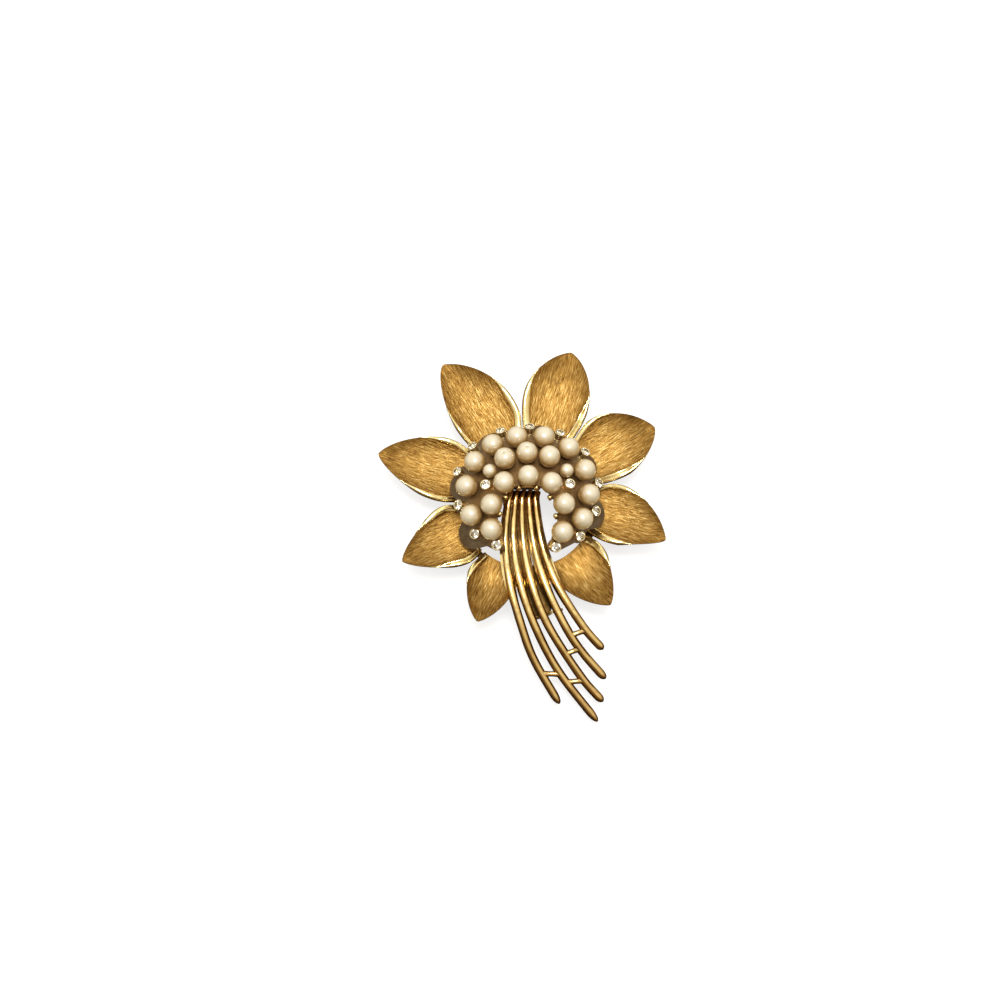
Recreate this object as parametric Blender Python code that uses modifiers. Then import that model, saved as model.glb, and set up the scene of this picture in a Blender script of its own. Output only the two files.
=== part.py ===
"""Flower brooch: eight cupped petals, a domed crown of pearls and diamonds, a stem spray and a pin.

The brooch lies on its back, face up.  +Y points to the flower's top, +Z out of its face, and z = 0 is
the lowest point of the pin fittings.  Lengths are in millimetres until MM turns them into metres.
"""

from math import asin, cos, exp, hypot, log, pi, radians, sin, sqrt, tan

import bmesh
import bpy
from mathutils import Matrix, Vector

MM = 0.001

# Overall layout
FLOWER_X, FLOWER_Y = 0.75, 5.25
RING_BACK, RING_FRONT = 3.40, 4.10
RING_INNER, RING_OUTER = 9.8, 11.5
RING_OPEN_INNER = 10.5
RING_OPEN_BEARING, RING_OPEN_HALF, RING_OPEN_BLEND = -90.0, 48.0, 12.0
PLAY = 0.06

# Petals: name, bearing of the tip, reach, left and right half widths, widest share, fullness,
# sideways lean
PETALS = (
    ("petal_top_left", 121.3, 25.4, 5.00, 4.90, 0.30, 2.2, -1.6),
    ("petal_top", 73.5, 24.7, 5.00, 5.10, 0.42, 2.2, 0.25),
    ("petal_right_upper", 30.0, 23.0, 5.15, 5.35, 0.33, 2.2, 1.15),
    ("petal_right", -17.0, 22.3, 4.70, 4.55, 0.25, 1.7, 1.8),
    ("petal_lower_right", -52.8, 21.0, 4.85, 4.35, 0.15, 1.7, -0.1),
    ("petal_lower_left", -111.8, 20.8, 3.45, 4.20, 0.25, 1.9, 0.0),
    ("petal_left_lower", -152.8, 21.7, 4.75, 5.40, 0.12, 1.4, 0.0),
    ("petal_left", 162.7, 24.3, 4.75, 5.00, 0.27, 1.8, -0.7),
)
# Bearing of the seam on the left of each petal
PETAL_SEAMS = (136.6, 93.4, 53.9, 13.0, -29.3, -86.0, -131.0, -178.0)
SEAM_GAP = 0.15
PETAL_ROOT_RADIUS = 10.4
PETAL_ROOT_Z = 4.90
PETAL_TIP_RISE = 2.3
PETAL_DIP = 0.4
PETAL_CUP = 1.6
PETAL_THICKNESS = 0.5
RIM_HEIGHT = 0.35
PETAL_ROWS = 13
PETAL_COLUMNS = (-1.0, -0.92, -0.80, -0.5, -0.2, 0.2, 0.5, 0.80, 0.92, 1.0)

# Crown: a dome with an arch cut in its lower side
DOME_RADIUS = 17.0
DOME_TOP = 11.5
PLATE_THICKNESS = 0.6
PLATE_RADIUS = 10.6
SCALLOPS = (-14.0, 31.6, 77.2, 122.8, 168.4, 214.0)
SCALLOP_CENTRE, SCALLOP_RADIUS = 9.6, 2.65
ARCH_RADIUS = 4.75
ARCH_Y = -3.5
ARCH_START, ARCH_END = -35.0, 215.0
LEG_END_X, LEG_END_Y = 3.5, -8.5
LOBE_RADIUS = 1.25
END_LOBE_RADIUS = 1.0
END_STONES = (8, 12)

# Stones and pearls: bearing and distance from the crown's centre, measured on the dome
PEARL_RADIUS = 1.70
SMALL_PEARL_RADIUS = 1.12
OUTER_PEARLS = (
    (201.7, 8.46), (173.4, 8.56), (148.7, 8.61), (125.2, 8.46), (100.7, 8.15), (73.9, 8.37),
    (48.5, 8.68), (22.6, 8.64), (358.6, 8.53), (334.2, 8.40), (310.2, 7.40), (226.4, 7.31),
)
INNER_PEARLS = ((201.3, 5.42), (162.5, 3.44), (87.9, 1.89), (16.7, 3.39), (339.5, 5.37))
MIDDLE_PEARLS = ((124.5, 5.60), (91.0, 5.43), (58.5, 5.77))
SMALL_PEARLS = ((150.3, 6.25), (29.6, 6.42))
STONES = (
    (136.1, 11.30), (111.4, 10.87), (88.1, 10.70), (63.5, 10.90), (38.9, 10.98), (11.4, 10.72),
    (347.4, 10.29), (321.5, 9.83), (297.6, 8.92), (159.3, 11.07), (187.4, 10.26), (216.7, 9.67),
    (239.1, 8.84), (169.1, 6.28), (12.1, 6.33),
)
STONE_RADIUS = 0.66
COLLET_RADIUS, COLLET_BORE, COLLET_HEIGHT = 0.84, 0.72, 1.0

# Gallery under the crown
GALLERY_RADIUS = 10.05
GALLERY_RAIL_Z = 5.6
RAIL_START, RAIL_END, RAIL_STEP = -30, 210, 16
POST_BEARINGS = (-26, 0, 26, 50, 77, 100, 124, 148, 172, 206)
POST_RADIUS = 0.25
BEAD_BEARINGS = (178, 142, 108, 72, 38, -2)
BEAD_RADIUS = 0.42
BEAD_INSET = 0.45
INNER_RAIL_OUTSET, INNER_RAIL_DROP = 0.65, 1.3

# Stem strands: points along each crest line, measured from the flower's centre
STRANDS = (
    ("stem_strand_1", ((-2.35, 0.9, 8.7), (-2.95, -1.5, 8.8), (-3.42, -7.0, 7.6), (-2.71, -13.5, 7.7),
                       (-0.96, -19.8, 6.4), (1.04, -24.9, 4.5), (4.9, -31.3, 2.6))),
    ("stem_strand_2", ((-1.40, 0.9, 8.7), (-1.91, -1.1, 8.8), (-2.15, -7.0, 7.6), (-1.12, -13.5, 7.7),
                       (1.09, -19.8, 6.4), (4.80, -26.5, 3.9), (10.73, -34.0, 2.3))),
    ("stem_strand_3", ((-0.45, 0.9, 8.7), (-0.87, -1.1, 8.8), (-0.64, -7.0, 7.6), (0.62, -13.5, 7.7),
                       (3.16, -19.8, 6.4), (8.09, -27.1, 3.8), (11.57, -31.0, 2.7))),
    ("stem_strand_4", ((0.50, 0.9, 8.7), (0.25, -1.1, 8.8), (0.93, -7.0, 7.6), (2.69, -13.5, 7.7),
                       (5.71, -19.8, 6.4), (8.33, -23.6, 5.0), (11.97, -27.6, 3.6))),
    ("stem_strand_5", ((1.45, 0.9, 8.7), (1.26, -1.1, 8.8), (2.18, -7.0, 7.6), (4.43, -13.5, 7.7),
                       (8.40, -19.8, 6.4), (11.57, -23.3, 5.1))),
)
STRAND_HALF_TOP, STRAND_HALF = 0.42, 0.66
STRAND_TOP_Y, STRAND_FULL_Y = 0.9, -20.0
CROSSBAR_RADIUS = 0.34
CROSSBAR_Y = (-26.9, -28.0, -23.6, -20.9)
CROSSBAR_RISE = (0.0, 0.15, 0.4, 0.4)
CROSSBAR_SHORT = 1.5

# Pin fittings, in a frame whose x runs from the hinge to the tip
PIN_BEARING = -72.0
HINGE_X, HINGE_Y = -6.2, 9.2
FITTING_Z = 1.5
PIN_LENGTH = 30.5
PIN_RADIUS = 0.42
CATCH_DISTANCE = 26.8
KNUCKLE_RADIUS, KNUCKLE_WIDTH = 1.25, 1.3
RIVET_RADIUS = 0.45
TONGUE_END = 28.4
TONGUE_WIDTH = 3.6
ROTOR_INNER, ROTOR_OUTER, ROTOR_FLANGE = 0.62, 1.05, 1.5
ROTOR_START, ROTOR_TURN, LEVER_BEARING = 100.0, 260.0, -10.0
HOUSING_INNER, HOUSING_OUTER = 1.11, 1.55

YELLOW_GOLD = (0.62, 0.36, 0.10, 1.0)
POLISHED_GOLD = (0.80, 0.55, 0.20, 1.0)
DARK_PLATE = (0.12, 0.085, 0.055, 1.0)
NACRE = (0.80, 0.68, 0.50, 1.0)
DIAMOND = (0.95, 0.95, 0.93, 1.0)
STEEL = (0.45, 0.43, 0.40, 1.0)


for old in list(bpy.data.objects):
    bpy.data.objects.remove(old, do_unlink=True)

brooch = bpy.data.collections.new("brooch")
cutters = bpy.data.collections.new("cutters")
bpy.context.scene.collection.children.link(brooch)
bpy.context.scene.collection.children.link(cutters)


def material(name, colour, metallic, roughness):
    """A Principled material with one colour and finish."""
    made = bpy.data.materials.new(name)
    made.use_nodes = True
    shader = made.node_tree.nodes["Principled BSDF"]
    shader.inputs["Base Color"].default_value = colour
    shader.inputs["Metallic"].default_value = metallic
    shader.inputs["Roughness"].default_value = roughness
    return made


def object_from(name, bm, paint, location=(0.0, 0.0, 0.0), bearing=0.0, smooth=True):
    """Link a mesh, drawn in millimetres, as a named part of the brooch."""
    bmesh.ops.recalc_face_normals(bm, faces=bm.faces)
    bmesh.ops.scale(bm, vec=(MM, MM, MM), verts=bm.verts)
    mesh = bpy.data.meshes.new(name)
    bm.to_mesh(mesh)
    bm.free()
    part = bpy.data.objects.new(name, mesh)
    brooch.objects.link(part)
    mesh.materials.append(paint)
    if smooth:
        mesh.shade_smooth()
        mesh.set_sharp_from_angle(angle=radians(38))
    part.location = Vector(location) * MM
    part.rotation_euler.z = radians(bearing)
    return part


def join_solids(part, solids):
    """Fuse solids drawn in millimetres into a part with exact unions."""
    for index, bm in enumerate(solids):
        bmesh.ops.recalc_face_normals(bm, faces=bm.faces)
        bmesh.ops.scale(bm, vec=(MM, MM, MM), verts=bm.verts)
        mesh = bpy.data.meshes.new(f"{part.name}_piece_{index}")
        bm.to_mesh(mesh)
        bm.free()
        piece = bpy.data.objects.new(mesh.name, mesh)
        piece.hide_render = True
        piece.display_type = "WIRE"
        piece.matrix_world = part.matrix_basis
        cutters.objects.link(piece)
        union = part.modifiers.new(mesh.name, "BOOLEAN")
        union.operation = "UNION"
        union.solver = "EXACT"
        union.object = piece


def cut_solids(part, solids):
    """Cut solids drawn in millimetres out of a part with exact differences."""
    count = len(part.modifiers)
    join_solids(part, solids)
    for modifier in part.modifiers[count:]:
        modifier.operation = "DIFFERENCE"


def bridge(bm, rings, closed=False):
    """Join consecutive rings of vertices with quads; cap both ends of an open run."""
    count = len(rings[0])
    last = len(rings) if closed else len(rings) - 1
    for i in range(last):
        a, b = rings[i], rings[(i + 1) % len(rings)]
        for j in range(count):
            k = (j + 1) % count
            bm.faces.new((a[j], a[k], b[k], b[j]))
    if not closed:
        bm.faces.new(list(reversed(rings[0])))
        bm.faces.new(rings[-1])


def smooth_path(points, steps):
    """Catmull-Rom points through a list of corners, with steps spans between neighbours."""
    points = [Vector(p) for p in points]
    ends = [points[0] * 2 - points[1]] + points + [points[-1] * 2 - points[-2]]
    path = []
    for i in range(1, len(ends) - 2):
        p0, p1, p2, p3 = ends[i - 1:i + 3]
        for k in range(steps):
            t = k / steps
            path.append(0.5 * (2 * p1 + (p2 - p0) * t + (2 * p0 - 5 * p1 + 4 * p2 - p3) * t * t
                               + (3 * p1 - p0 - 3 * p2 + p3) * t ** 3))
    return path + [points[-1]]


def sweep(path, section, closed=False):
    """A solid that carries section(share) along a path, keeping its second axis close to +Z."""
    bm = bmesh.new()
    rings = []
    count = len(path)
    for i, point in enumerate(path):
        before = path[i - 1] if i or closed else path[0]
        after = path[(i + 1) % count] if i < count - 1 or closed else path[-1]
        ahead = (after - before).normalized()
        up = Vector((0.0, 0.0, 1.0)) if abs(ahead.z) < 0.9 else Vector((0.0, 1.0, 0.0))
        side = ahead.cross(up).normalized()
        up = side.cross(ahead)
        outline = section(i / (count - 1))
        rings.append([bm.verts.new(point + side * a + up * b) for a, b in outline])
    bridge(bm, rings, closed)
    return bm


def round_section(radius, sides):
    """A regular outline for sweep."""
    outline = [(radius * cos(2 * pi * k / sides), radius * sin(2 * pi * k / sides)) for k in range(sides)]
    return lambda share: outline


def turned(profile, sides, frame=Matrix()):
    """A closed solid turned about z from (radius, height) points; radius 0 closes an end."""
    bm = bmesh.new()
    rings = []
    for radius, height in profile:
        if radius < 1e-6:
            rings.append([bm.verts.new((0.0, 0.0, height))])
            continue
        angles = [2 * pi * k / sides for k in range(sides)]
        rings.append([bm.verts.new((radius * cos(a), radius * sin(a), height)) for a in angles])
    for a, b in zip(rings, rings[1:]):
        for j in range(sides):
            k = (j + 1) % sides
            if len(a) == 1:
                bm.faces.new((a[0], b[j], b[k]))
            elif len(b) == 1:
                bm.faces.new((a[j], b[0], a[k]))
            else:
                bm.faces.new((a[j], b[j], b[k], a[k]))
    if len(rings[0]) > 1 and len(rings[-1]) > 1:
        bm.faces.new(rings[0])
        bm.faces.new(rings[-1])
    bmesh.ops.transform(bm, matrix=frame, verts=bm.verts)
    return bm


def prism(outline, low, high, axis="Z"):
    """A straight solid: a flat outline carried from low to high along z, or along x or y."""
    bm = bmesh.new()
    place = {
        "Z": lambda a, b, c: (a, b, c),
        "X": lambda a, b, c: (c, a, b),
        "Y": lambda a, b, c: (a, c, b),
    }[axis]
    rings = [[bm.verts.new(place(a, b, c)) for a, b in outline] for c in (low, high)]
    bridge(bm, rings)
    return bm


def arc(radius, start, end, steps, centre=(0.0, 0.0)):
    """Points on a circular arc, in degrees, with both ends."""
    angles = [radians(start + (end - start) * k / steps) for k in range(steps + 1)]
    return [(centre[0] + radius * cos(a), centre[1] + radius * sin(a)) for a in angles]


def dome_height(radius):
    """Height of the crown's front face at a distance from its centre."""
    return DOME_TOP - DOME_RADIUS + sqrt(DOME_RADIUS ** 2 - radius ** 2)


def dome_frame(bearing, radius, lift=0.0):
    """Frame on the crown's face: z out of the dome, y across the slope."""
    angle = radians(bearing)
    tilt = asin(radius / DOME_RADIUS)
    outward = Vector((sin(tilt) * cos(angle), sin(tilt) * sin(angle), cos(tilt)))
    point = Vector((radius * cos(angle), radius * sin(angle), dome_height(radius))) + outward * lift
    turn = Matrix.Rotation(angle, 4, "Z") @ Matrix.Rotation(tilt, 4, "Y")
    return Matrix.Translation(point) @ turn


FLOWER = (FLOWER_X, FLOWER_Y, 0.0)
petal_gold = material("petal_gold", YELLOW_GOLD, 1.0, 0.45)
frame_gold = material("frame_gold", YELLOW_GOLD, 1.0, 0.35)
stem_gold = material("stem_gold", POLISHED_GOLD, 1.0, 0.22)
gallery_gold = material("gallery_gold", POLISHED_GOLD, 1.0, 0.25)
crown_metal = material("crown_metal", DARK_PLATE, 0.9, 0.5)
pearl_nacre = material("pearl_nacre", NACRE, 0.0, 0.22)
diamond_glass = material("diamond_glass", DIAMOND, 0.0, 0.03)
pin_steel = material("pin_steel", STEEL, 1.0, 0.3)
fitting_gold = material("fitting_gold", POLISHED_GOLD, 1.0, 0.3)


# ---------------------------------------------------------------- petals
def ease(low, high, value):
    """Smooth step from 0 to 1."""
    t = min(max((value - low) / (high - low), 0.0), 1.0)
    return t * t * (3 - 2 * t)


def softer(a, b, width=0.35):
    """The smaller of two numbers, with the corner between them rounded."""
    return -width * log(exp(-a / width) + exp(-b / width))


def petal_swell(share, widest, fullness):
    """A petal's width at a share of its length, as a share of its widest."""
    if share < widest:
        return 1 - 0.22 * ((widest - share) / widest) ** 2
    return max(1 - ((share - widest) / (1 - widest)) ** fullness, 0.0) ** 0.75


def petal_side(along, half, middle, limit_angle, root):
    """A petal's reach to one side, held back from the seam with its neighbour."""
    seam = tan(radians(min(limit_angle, 75)))
    wide = softer(half + middle, along * seam - SEAM_GAP)
    drawn_in = root * (PETAL_ROOT_RADIUS - sqrt(PETAL_ROOT_RADIUS ** 2 - min(wide, 6.0) ** 2))
    return softer(half + middle, (along - drawn_in) * seam - SEAM_GAP)


def petal_point(petal, share, across, left_seam, right_seam):
    """A point on a petal's front, along its bearing and across it from -1 to 1."""
    name, bearing, reach, left_half, right_half, widest, fullness, lean = petal
    along = PETAL_ROOT_RADIUS + share * (reach - PETAL_ROOT_RADIUS)
    middle = lean * (1 - share ** 4)
    swell = petal_swell(share, widest, fullness)
    root = 1 - ease(0.0, 0.35, share)
    left = petal_side(along, left_half * swell, middle, left_seam - bearing, root)
    right = petal_side(along, right_half * swell, -middle, bearing - right_seam, root)
    offset = -right + (across + 1) / 2 * (left + right)
    cup = PETAL_CUP * swell ** 1.5 * (0.30 + 0.70 * (1 - root))
    edge = ease(0.78, 0.93, abs(across)) * (1 - ease(0.45, 0.72, share)) * ease(-0.05, 0.2, share)
    height = PETAL_ROOT_Z - PETAL_DIP * sin(pi * min(share / 0.9, 1.0)) + PETAL_TIP_RISE * share ** 2.2
    height += cup * across ** 2 + RIM_HEIGHT * edge
    along -= root * (PETAL_ROOT_RADIUS - sqrt(PETAL_ROOT_RADIUS ** 2 - offset ** 2))
    return Matrix.Rotation(radians(bearing), 3, "Z") @ Vector((along, offset, height))


for index, petal in enumerate(PETALS):
    left_seam = PETAL_SEAMS[index]
    right_seam = PETAL_SEAMS[(index + 1) % len(PETALS)]
    if left_seam < petal[1]:
        left_seam += 360
    bm = bmesh.new()
    rows = []
    for i in range(PETAL_ROWS):
        share = (i / PETAL_ROWS) ** 0.92
        rows.append([bm.verts.new(petal_point(petal, share, v, left_seam, right_seam)) for v in PETAL_COLUMNS])
    for a, b in zip(rows, rows[1:]):
        for j in range(len(PETAL_COLUMNS) - 1):
            bm.faces.new((a[j], a[j + 1], b[j + 1], b[j]))
    tip = bm.verts.new(petal_point(petal, 1.0, 0.0, left_seam, right_seam))
    for j in range(len(PETAL_COLUMNS) - 1):
        bm.faces.new((rows[-1][j], rows[-1][j + 1], tip))
    part = object_from(petal[0], bm, petal_gold, FLOWER)
    if part.data.polygons[0].normal.z < 0:
        part.data.flip_normals()
    shell = part.modifiers.new("shell", "SOLIDIFY")
    shell.thickness = PETAL_THICKNESS * MM
    shell.offset = -1.0

# ---------------------------------------------------------------- ring behind the petals
def ring_section(bearing):
    """The ring's (radius, height) outline: it is narrower where the flower's lower side is open."""
    aside = abs((bearing - RING_OPEN_BEARING + 180) % 360 - 180)
    opened = 1 - ease(RING_OPEN_HALF, RING_OPEN_HALF + RING_OPEN_BLEND, aside)
    inner = RING_INNER + (RING_OPEN_INNER - RING_INNER) * opened
    return (
        (inner, RING_BACK + 0.15), (inner, RING_FRONT - 0.2), (inner + 0.2, RING_FRONT),
        (RING_OUTER - 0.2, RING_FRONT), (RING_OUTER, RING_FRONT - 0.2), (RING_OUTER, RING_BACK),
        (inner + 0.15, RING_BACK),
    )


bm = bmesh.new()
rings = []
RING_STEPS = 48
for k in range(RING_STEPS):
    bearing = 360 * k / RING_STEPS
    a = radians(bearing)
    rings.append([bm.verts.new((r * cos(a), r * sin(a), z)) for r, z in ring_section(bearing)])
bridge(bm, rings, closed=True)
ring = object_from("petal_ring", bm, frame_gold, FLOWER)

# A tongue from the ring's lower side carries the catch, in line with the pin.
pin_turn = Matrix.Rotation(radians(PIN_BEARING), 4, "Z")
pin_place = Matrix.Translation((HINGE_X, HINGE_Y, 0.0)) @ pin_turn
half = TONGUE_WIDTH / 2
tongue_outline = [(20.3, -half), (TONGUE_END - half, -half)]
tongue_outline += arc(half, -70, 70, 7, (TONGUE_END - half, 0.0)) + [(TONGUE_END - half, half), (20.3, half)]
tongue = prism(tongue_outline, RING_BACK + 0.02, RING_FRONT - 0.03)
bmesh.ops.transform(tongue, matrix=pin_place, verts=tongue.verts)
# A pad under the ring takes the hinge.
pad = prism([(-2.2, -2.2), (1.6, -2.2), (1.6, 2.2), (-2.2, 2.2)], RING_BACK + 0.02, RING_FRONT - 0.03)
bmesh.ops.transform(pad, matrix=pin_place, verts=pad.verts)
join_solids(ring, [tongue, pad])


# ---------------------------------------------------------------- crown plate and collets
def arch_edge(share, inset=0.0):
    """The arch's edge, from the right leg's end over the top to the left leg's end."""
    radius = ARCH_RADIUS - inset
    run = ARCH_START + (ARCH_END - ARCH_START) * min(max((share - 0.1) / 0.8, 0.0), 1.0)
    spot = Vector((radius * cos(radians(run)), ARCH_Y + radius * sin(radians(run))))
    if 0.1 <= share <= 0.9:
        return spot
    side = 1.0 if share < 0.5 else -1.0
    end = Vector((side * (LEG_END_X - inset), LEG_END_Y))
    return end.lerp(spot, min(share, 1 - share) / 0.1)


def plate_outer(share):
    """The plate's scalloped outer edge, which closes in on the legs' ends."""
    bearing = radians(-60 + 300 * share)
    end = 1 - ease(0.0, 0.10, min(share, 1 - share))
    reach = PLATE_RADIUS - 0.75 * end
    for middle in SCALLOPS:
        aside = SCALLOP_CENTRE * sin(bearing - radians(middle))
        if cos(bearing - radians(middle)) > 0 and abs(aside) < SCALLOP_RADIUS:
            lobe = SCALLOP_CENTRE * cos(bearing - radians(middle)) + sqrt(SCALLOP_RADIUS ** 2 - aside ** 2)
            reach = max(reach, lobe)
    return Vector((reach * cos(bearing), reach * sin(bearing)))


bm = bmesh.new()
PLATE_STEPS = 60
grid = []
for i in range(PLATE_STEPS + 1):
    inner, outer = arch_edge(i / PLATE_STEPS), plate_outer(i / PLATE_STEPS)
    spots = [inner.lerp(outer, j / 3) for j in range(4)]
    grid.append([bm.verts.new((p.x, p.y, dome_height(p.length))) for p in spots])
for a, b in zip(grid, grid[1:]):
    for j in range(3):
        bm.faces.new((a[j], a[j + 1], b[j + 1], b[j]))
crown = object_from("crown_plate", bm, crown_metal, FLOWER)
if crown.data.polygons[0].normal.z < 0:
    crown.data.flip_normals()
shell = crown.modifiers.new("shell", "SOLIDIFY")
shell.thickness = PLATE_THICKNESS * MM
shell.offset = -1.0


def collet(lobe):
    """A stone's tube standing on a round lobe of the plate, bored for the stone."""
    low = -PLATE_THICKNESS + 0.05
    return (
        (0.0, low), (lobe, low), (lobe, -0.03), (COLLET_RADIUS, -0.03), (COLLET_RADIUS, COLLET_HEIGHT - 0.08),
        (COLLET_RADIUS - 0.05, COLLET_HEIGHT), (COLLET_BORE, COLLET_HEIGHT - 0.04), (COLLET_BORE, 0.72),
        (0.0, 0.12),
    )


lobes = [END_LOBE_RADIUS if k in END_STONES else LOBE_RADIUS for k in range(len(STONES))]
join_solids(crown, [turned(collet(w), 10, dome_frame(b, r)) for w, (b, r) in zip(lobes, STONES)])

# ---------------------------------------------------------------- stones
stone_profile = ((0.0, 0.22), (0.36, 0.22), (STONE_RADIUS, 0.03), (STONE_RADIUS, -0.03), (0.0, -0.52))
for index, (bearing, radius) in enumerate(STONES):
    place = Matrix.Translation(FLOWER) @ dome_frame(bearing, radius, COLLET_HEIGHT - 0.12)
    part = object_from(f"diamond_{index + 1:02d}", turned(stone_profile, 10), diamond_glass, smooth=False)
    place.translation *= MM
    part.matrix_world = place

# ---------------------------------------------------------------- pearls
pearls = [(b, r, PEARL_RADIUS) for b, r in OUTER_PEARLS + INNER_PEARLS + MIDDLE_PEARLS]
pearls += [(b, r, SMALL_PEARL_RADIUS) for b, r in SMALL_PEARLS]
for index, (bearing, radius, size) in enumerate(pearls):
    bm = bmesh.new()
    bmesh.ops.create_uvsphere(bm, u_segments=12, v_segments=8, radius=size)
    part = object_from(f"pearl_{index + 1:02d}", bm, pearl_nacre)
    place = Matrix.Translation(FLOWER) @ dome_frame(bearing, radius, size + PLAY)
    place.translation *= MM
    part.matrix_world = place

# ---------------------------------------------------------------- gallery
rail = [Vector((GALLERY_RADIUS * cos(radians(a)), GALLERY_RADIUS * sin(radians(a)), GALLERY_RAIL_Z))
        for a in range(RAIL_START, RAIL_END + 1, RAIL_STEP)]
gallery = object_from("gallery", sweep(rail, round_section(0.25, 6)), gallery_gold, FLOWER)
pieces = []
for bearing in POST_BEARINGS:
    foot = Matrix.Translation((GALLERY_RADIUS * cos(radians(bearing)), GALLERY_RADIUS * sin(radians(bearing)), 0))
    top = dome_height(GALLERY_RADIUS) - PLATE_THICKNESS * 1.98
    pieces.append(turned(((0.0, RING_FRONT + PLAY), (POST_RADIUS, RING_FRONT + PLAY), (POST_RADIUS, top),
                          (0.0, top)), 6, foot))


def inner_rail_point(share):
    """The rail under the plate, along the arch's edge."""
    spot = arch_edge(share, -INNER_RAIL_OUTSET)
    return Vector((spot.x, spot.y, dome_height(spot.length) - INNER_RAIL_DROP))


inner_path = [rail[0]] + [inner_rail_point(k / 18) for k in range(1, 18)] + [rail[-1]]
pieces.append(sweep(inner_path, round_section(0.24, 6)))
for bearing in BEAD_BEARINGS:
    a = radians(bearing)
    prong = []
    for reach, rise in ((INNER_RAIL_OUTSET, -INNER_RAIL_DROP), (-BEAD_INSET, -INNER_RAIL_DROP + 0.1),
                        (-BEAD_INSET, 0.35)):
        x, y = (ARCH_RADIUS + reach) * cos(a), ARCH_Y + (ARCH_RADIUS + reach) * sin(a)
        prong.append(Vector((x, y, dome_height(hypot(x, y)) + rise)))
    pieces.append(sweep(prong, round_section(0.19, 6)))
    bm = bmesh.new()
    bmesh.ops.create_uvsphere(bm, u_segments=8, v_segments=6, radius=BEAD_RADIUS,
                              matrix=Matrix.Translation(prong[-1]))
    pieces.append(bm)
join_solids(gallery, pieces)


# ---------------------------------------------------------------- stem spray
def strand_half_width(y):
    """Half width of a strand at a height y: it thickens down the spray."""
    down = min(max((STRAND_TOP_Y - y) / (STRAND_TOP_Y - STRAND_FULL_Y), 0.0), 1.0)
    return STRAND_HALF_TOP + (STRAND_HALF - STRAND_HALF_TOP) * (1 - (1 - down) ** 1.5)


def strand_section(path):
    """A ridged section for sweep, rounded off at the tip."""
    def outline(share):
        width = strand_half_width(path[round(share * (len(path) - 1))].y)
        if share > 0.97:
            width *= sqrt(max(1 - ((share - 0.97) / 0.031) ** 2, 0.12))
        return [(width * a, width * b) for a, b in
                ((0.0, 1.0), (-0.55, 0.65), (-1.0, 0.0), (-0.7, -0.7), (0.0, -0.9), (0.7, -0.7),
                 (1.0, 0.0), (0.55, 0.65))]
    return outline


def at_height(path, y):
    """The point of a path at a height y."""
    for p, q in zip(path, path[1:]):
        if p.y >= y > q.y:
            return p.lerp(q, (p.y - y) / (p.y - q.y))
    return path[-1]


strand_paths = [smooth_path(points, 5) for name, points in STRANDS]
for index, (name, points) in enumerate(STRANDS):
    path = strand_paths[index]
    part = object_from(name, sweep(path, strand_section(path)), stem_gold, FLOWER)
    if index == 0:
        continue
    y, rise = CROSSBAR_Y[index - 1], CROSSBAR_RISE[index - 1]
    here, there = at_height(path, y + rise), at_height(strand_paths[index - 1], y - rise)
    across = (there - here).normalized()
    reach = (there - here).length - STRAND_HALF * CROSSBAR_SHORT
    bar = [here + across * reach * k / 4 for k in range(5)]
    join_solids(part, [sweep(bar, round_section(CROSSBAR_RADIUS, 6))])

collar = prism([(-2.9, 1.1), (2.0, 1.1), (2.0, 2.0), (-2.9, 2.0)], 8.1, 9.7)
bmesh.ops.bevel(collar, geom=collar.edges[:], offset=0.15, segments=1, affect="EDGES")
object_from("stem_collar", collar, stem_gold, FLOWER)

# ---------------------------------------------------------------- hinge
hinge_place = (FLOWER_X + HINGE_X, FLOWER_Y + HINGE_Y, FITTING_Z)
plate_low, plate_high = KNUCKLE_RADIUS + 0.1, RING_BACK - FITTING_Z - PLAY
hinge_base = object_from(
    "hinge_base", prism([(-1.9, -1.75), (1.4, -1.75), (1.4, 1.75), (-1.9, 1.75)], plate_low, plate_high),
    fitting_gold, hinge_place, PIN_BEARING, smooth=False)
cheek_outline = arc(FITTING_Z, 180, 360, 12) + [(1.4, plate_high - 0.2), (-1.5, plate_high - 0.2)]
inside = KNUCKLE_WIDTH / 2 + PLAY
cheeks = [prism(cheek_outline, low, high, "Y") for low, high in ((inside, inside + 0.7), (-inside - 0.7, -inside))]
join_solids(hinge_base, cheeks)
bores = [turned(((0.0, -3.0), (RIVET_RADIUS + 0.05, -3.0), (RIVET_RADIUS + 0.05, 3.0), (0.0, 3.0)), 16,
                Matrix.Rotation(radians(90), 4, "X"))]

cut_solids(hinge_base, bores)
rivet_half = inside + 0.7 + 0.18
head = RIVET_RADIUS + 0.25
rivet_profile = (
    (0.0, -rivet_half - 0.12), (head * 0.7, -rivet_half - 0.12), (head, -rivet_half + 0.05),
    (head, -rivet_half + 0.12), (RIVET_RADIUS, -rivet_half + 0.12), (RIVET_RADIUS, rivet_half - 0.12),
    (head, rivet_half - 0.12), (head, rivet_half - 0.05), (head * 0.7, rivet_half + 0.12), (0.0, rivet_half + 0.12),
)
object_from("hinge_rivet", turned(rivet_profile, 16, Matrix.Rotation(radians(90), 4, "X")), fitting_gold,
            hinge_place, PIN_BEARING)

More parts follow.
